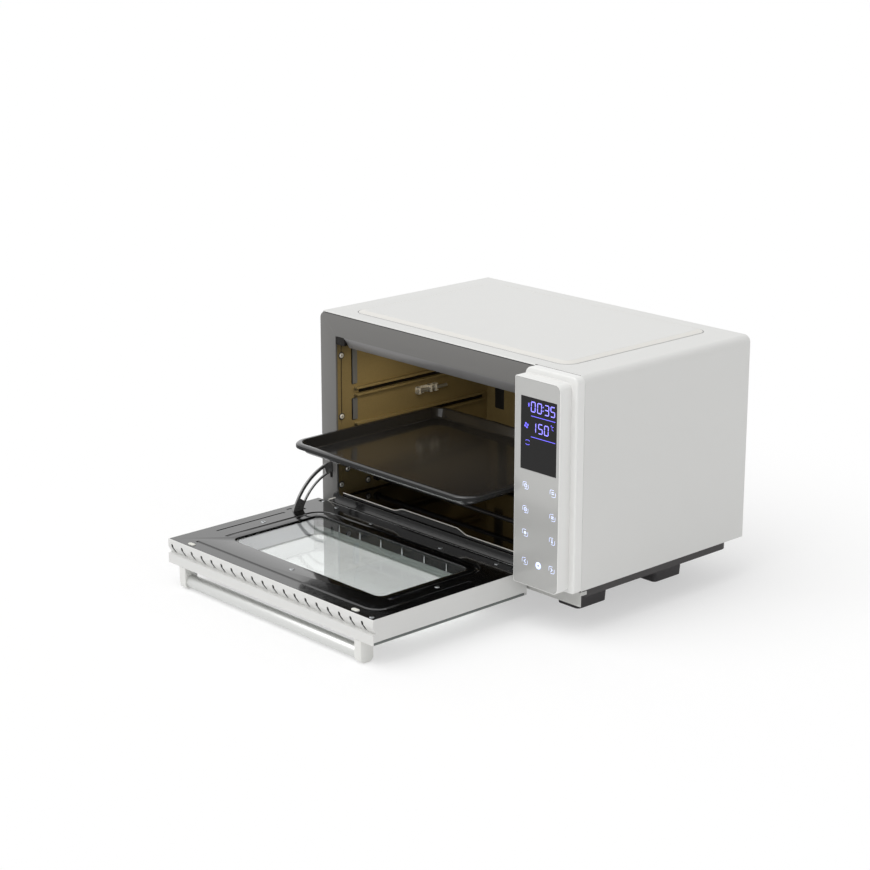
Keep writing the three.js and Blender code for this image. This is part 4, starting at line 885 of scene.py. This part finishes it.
class OVEN_OT_control_column(Operator):
    """Control column: two tiers with a hollow cove between them, seat for the glass and display"""

    bl_idname = "oven.control_column"
    bl_label = "Control column"

    def execute(self, context):
        cove = context.scene.oven_sizes.cove_radius / MM
        base_near, tier_near = -14, -34
        tier_left, tier_right, tier_top = 429, 510, 342
        base = new_box("control_column", (426, base_near, 60), (CABINET_WIDTH, -0.3, CABINET_TOP))
        round_corners(base, {(426, 60): 4, (520, 60): 6, (520, 350): 9, (426, 350): 12}, 10)
        rounded(base, 2.6, lambda p, d: p.y < base_near + 0.1, 6)
        tier = new_box("tier", (tier_left, tier_near, 61.5), (tier_right, -12, tier_top))
        round_corners(tier, {(429, 61.5): 3, (510, 61.5): 9, (510, 342): 9, (429, 342): 3}, 10)
        rounded(tier, 0.8, lambda p, d: p.y < tier_near + 0.1, 3)
        combine(base, tier, "UNION")
        rounded(
            base, cove,
            lambda p, d: abs(p.y - base_near) < 0.05 and (p.x > tier_right - 1 or p.z > tier_top - 1)
            and tier_left + 1 < p.x < tier_right + 0.1 and p.z < tier_top + 0.1, 8,
        )
        seat = new_box("seat", (430.2, -40, 62.7), (508.8, -31.7, 340.8))
        round_corners(seat, {(430.2, 62.7): 2, (508.8, 62.7): 8, (508.8, 340.8): 8, (430.2, 340.8): 2}, 8)
        combine(base, seat)
        combine(base, new_box("display_hole", (440.2, -40, 219.7), (504.3, -20, 317.3)))
        combine(base, rounded_box("tier_hollow", (431.5, -29.2, 64), (507.5, 4, 339.5), 2.5, "y", 4))
        finish_piece(base, "cabinet", "white_plastic", replaces=["control_housing"])
        return {"FINISHED"}


# The segments of each sign that is shown, with a to g named as on any seven-segment display.
SEGMENTS = {"0": "abcdef", "1": "bc", "3": "abgcd", "5": "afgcd", "C": "adef"}
# Where each segment's middle lies in its sign, across and up, and whether it stands.
SEGMENT_PLACES = {
    "a": (0.5, 1.0, 0), "g": (0.5, 0.5, 0), "d": (0.5, 0.0, 0),
    "f": (0.0, 0.75, 1), "b": (1.0, 0.75, 1), "e": (0.0, 0.25, 1), "c": (1.0, 0.25, 1),
}
GLASS_FACE = -34.0
MARK_LOW = -0.1
MARK_HIGH = 0.12


def segment_bar(length, width):
    """One lit segment: a flat bar with pointed ends, lying across."""
    bar = new_box("segment", (-length / 2, -width / 2, MARK_LOW), (length / 2, width / 2, MARK_HIGH))
    for side in (-1, 1):
        pick(bar, "FACE", lambda p, n, side=side: n.x * side > ALONG)
        bpy.ops.mesh.extrude_region_move(
            TRANSFORM_OT_translate={"value": (side * width / 2 * MM, 0, 0)},
        )
        bpy.ops.transform.resize(value=(1, 0.05, 1))
    return bar


def turned_bar(x, y, length, width, degrees):
    """A pointed bar about its middle, turned in its own plane."""
    bar = segment_bar(length, width)
    edit_all(bar)
    turn("Z", -degrees)
    shift(x, y, 0)
    leave_edit()
    return bar


def digit_marks(text, lefts, bottom, width, height, stroke, slant=0.03):
    """The lit segments of a row of digits."""
    parts = []
    for sign, left in zip(text, lefts):
        for key in SEGMENTS[sign]:
            x, y, upright = SEGMENT_PLACES[key]
            length = (height / 2 if upright else width) - stroke * 1.25
            middle = (left + x * width + slant * height * y, bottom + y * height)
            parts.append(turned_bar(*middle, length, stroke, 90 if upright else 0))
    return parts


def disc_mark(x, y, diameter, sides=20):
    """A filled lit disc."""
    return new_rod("disc", (x, y, MARK_LOW), (x, y, MARK_HIGH), diameter, sides)


def disc_ring(x, y, away, turns, diameter, sides):
    """Lit discs round a place, at a distance and at angles in degrees."""
    angles = [math.radians(degrees) for degrees in turns]
    return [
        disc_mark(x + away * math.cos(angle), y + away * math.sin(angle), diameter, sides)
        for angle in angles
    ]


def outline_mark(x, y, width, height, corner, stroke, cut_test=None):
    """A lit line round a rounded rectangle, or the part of it that the test leaves."""
    low = (x - width / 2, y - height / 2)
    high = (x + width / 2, y + height / 2)
    line = outline_pipe("outline", low, high, corner, 0.0, stroke, cut_test, 6)
    edit_all(line)
    bpy.ops.transform.resize(value=(1, 1, MARK_HIGH / (stroke / 2)), center_override=at(x, y, 0))
    leave_edit()
    return line


def key_bracket(x, y):
    """Two corner brackets round a touch key's mark, at its upper left and lower right."""
    width, height = 9.6, 9.0
    return outline_mark(
        x, y, width, height, 1.8, 0.62,
        lambda p, n: abs((p.x - x) / (width / 2) - (p.y - y) / (height / 2)) < 0.55,
    )


def standing(parts, name):
    """Marks drawn lying down, joined and stood up on the face of the glass."""
    made = joined(parts, name)
    edit_all(made)
    turn("X", -90)
    shift(0, GLASS_FACE, 0)
    leave_edit()
    return made


class OVEN_OT_display_marks(Operator):
    """Lit digits, underlines and small signs on the display, and the marks of the touch keys"""

    bl_idname = "oven.display_marks"
    bl_label = "Display marks"

    def execute(self, context):
        stroke = 1.3
        parts = digit_marks("0035", (458.6, 469.8, 482.7, 493.2), 298.8, 6.9, 12.9, stroke)
        parts += digit_marks("150", (460.2, 472.0, 482.5), 272.2, 6.7, 12.4, stroke)
        parts += [disc_mark(479.9, 308.2, 1.7), disc_mark(479.7, 303.2, 1.7)]
        finish_piece(standing(parts, "display_digits"), "cabinet", "black_glass", "digits", angle=30)
        # Two underlines, a bar for the clock, the fan's four blades, the heaters' arcs, and degrees C.
        signs = [turned_bar(480.0, 292.9, 42.6, 0.9, 0), turned_bar(480.4, 265.1, 42.6, 0.9, 0)]
        signs += [turned_bar(454.4, 306.8, 3.6, 2.2, 90)]
        signs += disc_ring(450.4, 278.8, 2.5, (20, 110, 200, 290), 3.1, 14)
        arcs = 256.4
        signs.append(outline_mark(452.7, arcs, 7.6, 6.2, 2.6, 0.8, lambda p, n: abs(p.y - arcs) < 1.5))
        signs.append(outline_mark(494.6, 286.6, 1.7, 1.7, 0.8, 0.5))
        signs += digit_marks("C", (496.0,), 281.2, 3.0, 4.4, 0.7, 0)
        finish_piece(standing(signs, "display_signs"), "cabinet", "black_glass", "signs", angle=30)
        left, right = 450.3, 499.0
        first, second, third, last = rows = (197.8, 165.4, 133.4, 94.5)
        marks = [key_bracket(x, y) for x in (left, right) for y in rows]
        marks += [outline_mark(left, first, 4.4, 4.4, 2.1, 0.9)]
        marks += [turned_bar(left + 0.5, first + 0.8, 1.6, 0.7, 50)]
        marks += [outline_mark(left, second, 4.6, 4.6, 2.2, 0.9), disc_mark(left, second, 1.5, 12)]
        marks += [disc_mark(left, third, 4.4)]
        marks += [turned_bar(right, 199.4, 3.6, 1.0, 0), turned_bar(right, 197.0, 3.6, 1.0, 0)]
        marks += disc_ring(right, second, 1.6, (45, 135, 225, 315), 1.9, 12)
        marks += [turned_bar(right, 134.6, 3.4, 1.2, 90), disc_mark(right, 131.9, 2.4, 14)]
        for x, way in ((left, 1), (right, -1)):
            for up in (1.1, -1.1):
                marks.append(turned_bar(x, last + up, 3.2, 1.1, math.copysign(40, up) * way))
        marks.append(outline_mark(474.9, 94.1, 6.4, 6.4, 3.1, 3.6))
        finish_piece(standing(marks, "key_marks"), "cabinet", "panel_glass", "icons", angle=30)
        return {"FINISHED"}


# Trays


class OVEN_OT_baking_tray(Operator):
    """Baking tray: one pressed sheet with a rolled rim and a shallow bowl, and its rim's outward fold in a
    darker matt copy of the coating, painted shade
    """

    bl_idname = "oven.baking_tray"
    bl_label = "Baking tray"

    def execute(self, context):
        low, high = box_in_mm("baking_tray")
        middle = (low + high) / 2
        rim_height, skirt, wall = 6.4, 3.1, 1.0
        tray = new_sheet("baking_tray_pan", low.xy, high.xy, high.z - rim_height)
        pick(tray, "VERT")
        bpy.ops.mesh.bevel(
            offset=context.scene.oven_sizes.tray_corner, segments=12, affect="VERTICES", profile=0.5,
        )
        pick(tray, "FACE")
        bpy.ops.mesh.extrude_region_move(TRANSFORM_OT_translate={"value": (0, 0, skirt * MM)})
        cut_away(tray, "FACE", lambda p, n: n.z < -ALONG)
        pick(tray, "FACE", lambda p, n: n.z > ALONG)
        for inset, rise in (
            (0.5, 1.4), (1.3, 1.1), (1.9, 0.6), (2.4, 0.2), (1.9, 0.0), (0.8, -0.5), (0.5, -1.0),
            (3.6, -10.6), (0.7, -1.3), (1.1, -0.9), (1.8, -0.5), (2.4, -0.2),
        ):
            bpy.ops.mesh.inset(thickness=inset * MM, depth=rise * MM)

        def in_fold(place, normal):
            out = place - middle
            outward = normal.x * out.x + normal.y * out.y > 0
            return place.z > high.z - rim_height - 0.1 and abs(normal.z) < ASIDE and outward
        # The outward faces of the rolled rim get a darker matt copy of the coating: painted shade.
        fold = copy_of(tray, "baking_tray_fold")
        cut_away(fold, "FACE", lambda p, n: not in_fold(p, n))
        cut_away(tray, "FACE", in_fold)
        thickened(fold, wall)
        finish_piece(fold, "tray", "tray_coating", "tray_fold", angle=50)
        thickened(tray, wall)
        finish_piece(tray, "tray", "tray_coating", replaces=["baking_tray"], angle=50)
        return {"FINISHED"}


# Door


class OVEN_OT_door_panel(Operator):
    """Door's inner panel: enamelled sheet with the window opening and two pressed creases"""

    bl_idname = "oven.door_panel"
    bl_label = "Door panel"

    def execute(self, context):
        below, above = 60, 70
        panel = rounded_box("door_inner_sheet", (-4.5, -272.9, 65.3), (422.5, -4.5, DOOR_FACE), 1.2, "z", 3)
        combine(panel, rounded_box("window", (57, -213, below), (367, -54, above), 12, "z", 12))
        combine(panel, outline_pipe(
            "edge_crease", (-30, -252.4), (404, -30), 22, DOOR_FACE + 3.6, 9.0,
            lambda p, n: p.y > -83 or p.x < 3,
        ))
        combine(panel, outline_pipe(
            "window_crease", (41.5, -228.5), (382.5, -38.5), 26, DOOR_FACE + 3.75, 10.0,
            lambda p, n: p.y < -213,
        ))
        for x, near, far, wide in ((15, -206, -84, 4.6), (7.4, -74, -65, 4.0)):
            combine(panel, rounded_box(
                "slot", (x - wide / 2, near, 66.2), (x + wide / 2, far, above), wide / 2.2, "z", 4,
            ))
        combine(panel, new_box(
            "arm_hole", (ARM_ACROSS - ARM_GAP, -73.2, below), (ARM_ACROSS + ARM_GAP, -50.4, above),
        ))
        for across in (10, 408):
            combine(panel, new_box("notch", (across - 4.5, -14.5, 54), (across + 4.5, 5, above)))
        rounded(
            panel, 0.5,
            lambda p, d: p.z > DOOR_FACE - 0.05 and 50 < p.x < 374 and -220 < p.y < -47, 3,
        )
        finish_piece(panel, "door", "black_enamel", replaces=["door_inner_panel"], angle=30)
        return {"FINISHED"}


class OVEN_OT_window_liner(Operator):
    """Liner below the inner pane, the black gasket above it, and its row of clips"""

    bl_idname = "oven.window_liner"
    bl_label = "Window liner"

    def execute(self, context):
        left, right, front, back = 57.6, 366.4, -212.4, -54.6

        def ring(name, grow, low, high):
            return rounded_box(
                name, (left - grow, front - grow, low), (right + grow, back + grow, high), 12, "z", 10,
            )
        liner = ring("window_liner", 3, 38.0, 47.6)
        combine(liner, ring("hollow", 0, 30, 60))
        combine(liner, outline_pipe("line", (left, front), (right, back), 12, 42.6, 0.9))
        finish_piece(liner, "door", "zinc_steel", "liner_steel")
        gasket_top = 60.4
        gasket = ring("window_gasket", 3, 48.0, gasket_top)
        combine(gasket, ring("hollow", 0.2, 30, 64))
        rounded(gasket, 0.6, lambda p, d: p.z > gasket_top - 0.1, 2)
        finish_piece(gasket, "door", "black_plastic")
        clip = rounded_box("clip", (101, back - 1.4, 48.6), (102.6, back, 60), 0.6, "y", 3)
        rounded(clip, 0.4, lambda p, d: p.y < back - 1.1, 2)
        clips = [clip, *[copy_of(clip, "clip", (move, 0, 0)) for move in (45, 89, 133, 178, 222)]]
        # The liner's left side in a paler copy of its steel: painted light.
        side = rounded_box(
            "liner_side", (left + 0.2, front + 12, 38.4), (left + 1.0, back - 12, 60.0), 0.8, "x", 3,
        )
        finish_piece(side, "door", "zinc_steel", "liner_painted_light")
        finish_piece(joined(clips, "window_clips"), "door", "zinc_steel", "polished_steel")
        return {"FINISHED"}


class OVEN_OT_door_trim(Operator):
    """Closing bumpers, the outer pane's edge along the side, and the frame's wire catch"""

    bl_idname = "oven.door_trim"
    bl_label = "Door trim"

    def execute(self, context):
        for name in ("bumper_left", "bumper_right"):
            low, high = box_in_mm(name)
            pad = rounded_box(
                f"door_{name}", (low.x - 0.4, low.y - 0.8, DOOR_FACE - 0.2),
                (high.x + 0.4, high.y + 0.8, high.z + 0.1), 3.1, "z", 10,
            )
            rounded(pad, 0.6, lambda p, d, top=high.z: p.z > top and abs(d.z) < ASIDE, 4)
            finish_piece(pad, "door", "foot_rubber", "silicone", [name])
        strip = rounded_box("pane_edge", (422.5, -273.6, 32.6), (424.2, -8, 36.4), 0.7, "y", 4)
        finish_piece(strip, "door", "black_glass", "pane_edge")
        y = -0.3
        catch, *rest = [
            new_rod("frame_catch", start, end, 1.8, 16)
            for start, end in (
                ((29.4, y, 74.2), (14.7, y, 67.9)), ((15.0, y, 68.3), (11.8, y, 62.8)),
                ((29.0, y, 74.2), (29.0, 1.0, 74.2)),
            )
        ]
        for wire in rest:
            combine(catch, wire, "UNION")
        finish_piece(catch, "cabinet", "zinc_steel", "painted_glint")
        return {"FINISHED"}


def pressed_in(piece, rows, reach):
    """Moves the vertices at given heights inward from the door's free edge."""
    for height, inward in rows:
        pick(
            piece, "VERT",
            lambda p, n, height=height: abs(p.z - height) < 0.02 and p.y < DOOR_NEAR + reach,
        )
        shift(0, inward, 0)


class OVEN_OT_vent_strip(Operator):
    """Vent strip along the door's free edge: slotted band, hollow curve, step and lower face"""

    bl_idname = "oven.vent_strip"
    bl_label = "Vent strip"

    def execute(self, context):
        back = DOOR_NEAR + 12.25
        top, crest, ledge, depth = 66.5, 56.0, 46.7, 5.2
        slot_count, slot_right, slot_step, slot_half, slant = 19, 402.0, 22.2, 2.2, 4.0
        curve = [(crest, 0.0)]
        for index in range(1, 12):
            share = index / 12
            curve.append((ledge + (crest - ledge) * share, depth * (1 - share)))
        strip = new_box("vent_strip", (DOOR_LEFT, DOOR_NEAR, DOOR_UNDER), (DOOR_RIGHT, back, top))
        sliced(strip, "z", [ledge - 0.6, ledge, *[height for height, _ in curve]])
        pressed_in(strip, [(ledge, depth), *curve], 0.1)
        rounded(strip, 1.2, lambda p, d: p.y < DOOR_NEAR + 0.1 and abs(d.x) > ALONG and p.z > top - 0.1, 4)
        floor = ledge + 0.7
        hollow = new_box(
            "hollow", (DOOR_LEFT + 2, DOOR_NEAR + 0.9, floor), (DOOR_RIGHT - 2, back + OVERRUN, top - 1.2),
        )
        sliced(hollow, "z", [height for height, _ in curve])
        pressed_in(hollow, [(floor, depth), *curve], 1)
        combine(strip, hollow)
        slot = new_box(
            "slot", (slot_right - slot_half, DOOR_NEAR - OVERRUN, 48.0),
            (slot_right + slot_half, back - 1, 60.4),
        )
        pick(slot, "VERT", lambda p, n: p.z < 50)
        shift(slant, 0, 0)
        rounded(slot, 1.8, lambda p, d: abs(d.y) > ALONG, 4)
        others = [copy_of(slot, "slot", (-slot_step * index, 0, 0)) for index in range(1, slot_count)]
        combine(strip, joined([slot, *others], "slots"))
        finish_piece(strip, "door", "door_paint", replaces=["door_vent_strip"])
        # A black sheet behind the vent slots: painted shade, so the slots read dark.
        vent_shade = rounded_box(
            "vent_backing", (DOOR_LEFT + 3, back - 3.0, 44), (DOOR_RIGHT - 3, back - 0.4, top - 2),
            1, "y", 3,
        )
        finish_piece(vent_shade, "door", "black_plastic")
        return {"FINISHED"}


class OVEN_OT_handle(Operator):
    """Handle tube and its two end brackets"""

    bl_idname = "oven.handle"
    bl_label = "Handle"

    def execute(self, context):
        low, high = box_in_mm("handle_bar")
        middle = ((low.y + high.y) / 2, (low.z + high.z) / 2)
        tube = new_rod(
            "handle_tube", (low.x, *middle), (high.x, *middle), high.y - low.y, 64, "NOTHING",
        )
        thickened(tube, 1.2)
        rounded(tube, 0.3, lambda p, d: abs(d.x) < ASIDE, 2)
        finish_piece(tube, "door", "bright_steel", replaces=["handle_bar"])
        for side in ("left", "right"):
            low, high = box_in_mm(f"handle_bracket_{side}")
            plate = new_box(f"handle_end_{side}", low, high)
            rounded(plate, 7, lambda p, d, foot=low.z: abs(d.x) > ALONG and p.z < foot + 0.1, 10)
            rounded(plate, 0.6, lambda p, d, top=high.z: abs(d.x) < ASIDE and p.z < top - 0.1, 3)
            finish_piece(plate, "door", "zinc_steel", "bracket_steel", [f"handle_bracket_{side}"])
        return {"FINISHED"}


# Screws


def screw_head(diameter=7.0, height=0.9):
    """A pan head with a cross recess, standing on the origin and facing up."""
    head = new_rod("screw", (0, 0, 0), (0, 0, height), diameter, 20)
    rounded(head, height * 0.6, lambda p, d: p.z > height - 0.05 and abs(d.z) < ASIDE, 3)
    arm, half, floor, above = diameter / 4, 0.5, height / 3, 3
    combine(head, new_box("recess", (-arm, -half, floor), (arm, half, above)))
    combine(head, new_box("recess", (-half, -arm, floor), (half, arm, above)))
    leave_edit()
    return head


def turned_copy(piece, name, place, axis, degrees):
    """A copy turned about the origin, then moved to its place."""
    made = copy_of(piece, name)
    edit_all(made)
    turn(axis, degrees)
    shift(*place)
    leave_edit()
    return made


class OVEN_OT_screws(Operator):
    """Cross-head screws of the door panel, the cavity wall with dark rings of painted shade round them, and
    the back
    """

    bl_idname = "oven.screws"
    bl_label = "Screws"

    def execute(self, context):
        sunk = 1.3
        head = screw_head()
        for number in range(1, 9):
            name = f"door_screw_{number}"
            low, high = box_in_mm(name)
            spot = ((low.x + high.x) / 2, (low.y + high.y) / 2, high.z - sunk)
            screw = turned_copy(head, f"door_screw_head_{number}", spot, "Z", 20 * number)
            finish_piece(screw, "door", "zinc_steel", replaces=[name])
        wide = screw_head(7.4, 1.9)
        spots = ((10.4, 286), (10, 195.5), (8, 93), (20, 115), (59, 90))
        wall = [turned_copy(wide, "wall_screw", (MOUTH_LEFT, *spot), "Y", -90) for spot in spots]
        # Dark rings under the cavity screws' heads: painted shade round each screw.
        ring_span = MOUTH_LEFT + 0.2, MOUTH_LEFT + 0.8
        rings = [new_rod("ring", (ring_span[0], *spot), (ring_span[1], *spot), 10.4, 24) for spot in spots]
        shade_rings = joined(rings, "cavity_washers")
        rounded(shade_rings, 0.2, lambda p, d: abs(d.x) < 0.1 and p.x > ring_span[1] - 0.1, 2)
        finish_piece(shade_rings, "cabinet", "zinc_steel", "dark_steel")
        finish_piece(joined(wall, "cavity_screws"), "cabinet", "zinc_steel", "painted_glint")
        back = [
            turned_copy(head, "back_screw", (x, CABINET_DEPTH - 1, z), "X", 90)
            for x, z in ((12, 80), (12, 330), (260, 338), (508, 80), (508, 330), (260, 72))
        ]
        finish_piece(joined(back, "back_screws"), "cabinet", "zinc_steel")
        for tool in (head, wide):
            bpy.data.objects.remove(tool, do_unlink=True)
        return {"FINISHED"}


# Studio


CAMERA_PLACE = (2.0742, -1.96535, 1.0454)
CAMERA_AZIMUTH = 47.16
CAMERA_DROP = 16.26
CAMERA_LENS = 89.83
SENSOR_WIDTH = 36.0
VIEW_END = 50
SKY_LEVEL = 0.62
KEY_LEVEL = 1.6
KEY_SPREAD = 60.0
KEY_FROM = (-0.08, -0.26, 0.45)
CAVITY_LEVEL = 0.45
CAVITY_LAMP = (0.24, 0.08)
CAVITY_LAMP_PLACE = (217, 60, 303)
CAVITY_LAMP_COLOUR = (1.0, 0.86, 0.62)
FLOOR_WIDTH = 40
FLOOR_SHADE = 0.95
FLOOR_LIFT = 0.5
# The extra glow of the floor seen through the panes is painted light on the door's shadow.
PANE_SHADOW_FILL = 0.4
WHITE = (1, 1, 1, 1)


def seen_white(tree):
    """One for the rays that see the background: the camera's, and those off mirrors and through glass."""
    rays = node(tree, "ShaderNodeLightPath").outputs
    seen = rays["Is Camera Ray"]
    for ray in ("Is Transmission Ray", "Is Glossy Ray"):
        seen = node(tree, "ShaderNodeMath", {0: seen, 1: rays[ray]}, operation="MAXIMUM").outputs[0]
    return seen


def floor_paper():
    """Matt white paper, lifted a little where it is seen, and more through the panes, painted light that
    fills the door's shadow below the window.
    """
    material, tree, shader = blank("studio_paper")
    feed(tree, shader, {
        "Base Color": (FLOOR_SHADE, FLOOR_SHADE, FLOOR_SHADE, 1), "Roughness": 1.0,
        "Specular IOR Level": 0.0,
    })
    glow = node(tree, "ShaderNodeEmission", {"Color": WHITE, "Strength": 1.0})
    seen = node(tree, "ShaderNodeMath", {0: seen_white(tree), 1: FLOOR_LIFT}, operation="MULTIPLY")
    through = node(tree, "ShaderNodeLightPath").outputs["Is Transmission Ray"]
    share = node(
        tree, "ShaderNodeMath", {0: through, 1: PANE_SHADOW_FILL, 2: seen.outputs[0]},
        operation="MULTIPLY_ADD",
    )
    mixed = node(
        tree, "ShaderNodeMixShader",
        {0: share.outputs[0], 1: shader.outputs["BSDF"], 2: glow.outputs["Emission"]},
    )
    rewire(tree, mixed.outputs["Shader"])
    return material


def placed(scene, name, data):
    """A lamp or camera as an object of the scene."""
    holder = bpy.data.objects.new(name, data)
    scene.collection.objects.link(holder)
    return holder


class OVEN_OT_studio(Operator):
    """Floor, world, lamps and camera"""

    bl_idname = "oven.studio"
    bl_label = "Studio"

    def execute(self, context):
        scene = context.scene
        leave_edit()
        bpy.ops.mesh.primitive_plane_add(size=FLOOR_WIDTH, location=(0, 0, 0))
        floor = named("studio_floor")
        floor.data.materials.append(floor_paper())
        world = bpy.data.worlds.new("studio_world")
        scene.world = world
        world.use_nodes = True
        tree = world.node_tree
        tree.nodes.clear()
        white = node(tree, "ShaderNodeBackground", {"Color": WHITE, "Strength": 1.0})
        soft = node(tree, "ShaderNodeBackground", {"Color": WHITE, "Strength": SKY_LEVEL})
        sky = node(
            tree, "ShaderNodeMixShader",
            {0: seen_white(tree), 1: soft.outputs["Background"], 2: white.outputs["Background"]},
        )
        node(tree, "ShaderNodeOutputWorld", {"Surface": sky.outputs["Shader"]})
        key = bpy.data.lights.new("softbox", "SUN")
        key.energy = KEY_LEVEL
        key.angle = math.radians(KEY_SPREAD)
        lamp = placed(scene, "softbox", key)
        lamp.rotation_euler = (-Vector(KEY_FROM)).to_track_quat("-Z", "Y").to_euler()
        glow = bpy.data.lights.new("cavity_lamp", "AREA")
        glow.shape = "RECTANGLE"
        glow.size, glow.size_y = CAVITY_LAMP
        glow.energy = CAVITY_LEVEL
        glow.color = CAVITY_LAMP_COLOUR
        lamp = placed(scene, "cavity_lamp", glow)
        lamp.location = at(*CAVITY_LAMP_PLACE)
        lamp.visible_camera = False
        lamp.visible_glossy = False
        lens = bpy.data.cameras.new("camera")
        lens.lens = CAMERA_LENS
        lens.sensor_width = SENSOR_WIDTH
        lens.clip_end = VIEW_END
        camera = placed(scene, "camera", lens)
        camera.location = CAMERA_PLACE
        camera.rotation_euler = (math.radians(90 - CAMERA_DROP), 0, math.radians(CAMERA_AZIMUTH))
        scene.camera = camera
        scene.view_settings.view_transform = "Standard"
        return {"FINISHED"}


class OVEN_PT_panel(Panel):
    """Lists the oven's operators"""

    bl_label = "Oven"
    bl_idname = "OVEN_PT_panel"
    bl_space_type = "VIEW_3D"
    bl_region_type = "UI"
    bl_category = "Oven"

    def draw(self, context):
        for group in (context.scene.oven_sizes, context.scene.oven_colours):
            for key in group.bl_rna.properties.keys():
                if key not in ("rna_type", "name"):
                    self.layout.prop(group, key)
        for operator in OPERATORS:
            self.layout.operator(operator.bl_idname)


OPERATORS = (
    OVEN_OT_finishes,
    OVEN_OT_wrapper,
    OVEN_OT_front_frame,
    OVEN_OT_cavity_details,
    OVEN_OT_crumb_edge,
    OVEN_OT_stay_arm,
    OVEN_OT_control_column,
    OVEN_OT_display_marks,
    OVEN_OT_baking_tray,
    OVEN_OT_door_panel,
    OVEN_OT_window_liner,
    OVEN_OT_door_trim,
    OVEN_OT_vent_strip,
    OVEN_OT_handle,
    OVEN_OT_screws,
    OVEN_OT_studio,
)
CLASSES = (OvenColours, OvenSizes, *OPERATORS, OVEN_PT_panel)


def register():
    """Registers the classes and the scene's properties."""
    for item in CLASSES:
        bpy.utils.register_class(item)
    bpy.types.Scene.oven_colours = PointerProperty(type=OvenColours)
    bpy.types.Scene.oven_sizes = PointerProperty(type=OvenSizes)


def unregister():
    """Removes the classes and the scene's properties."""
    del bpy.types.Scene.oven_sizes
    del bpy.types.Scene.oven_colours
    for item in reversed(CLASSES):
        bpy.utils.unregister_class(item)


def main():
    """Builds everything in order."""
    register()
    for operator in OPERATORS:
        group, name = operator.bl_idname.split(".")
        getattr(getattr(bpy.ops, group), name)()


if __name__ == "__main__":
    main()
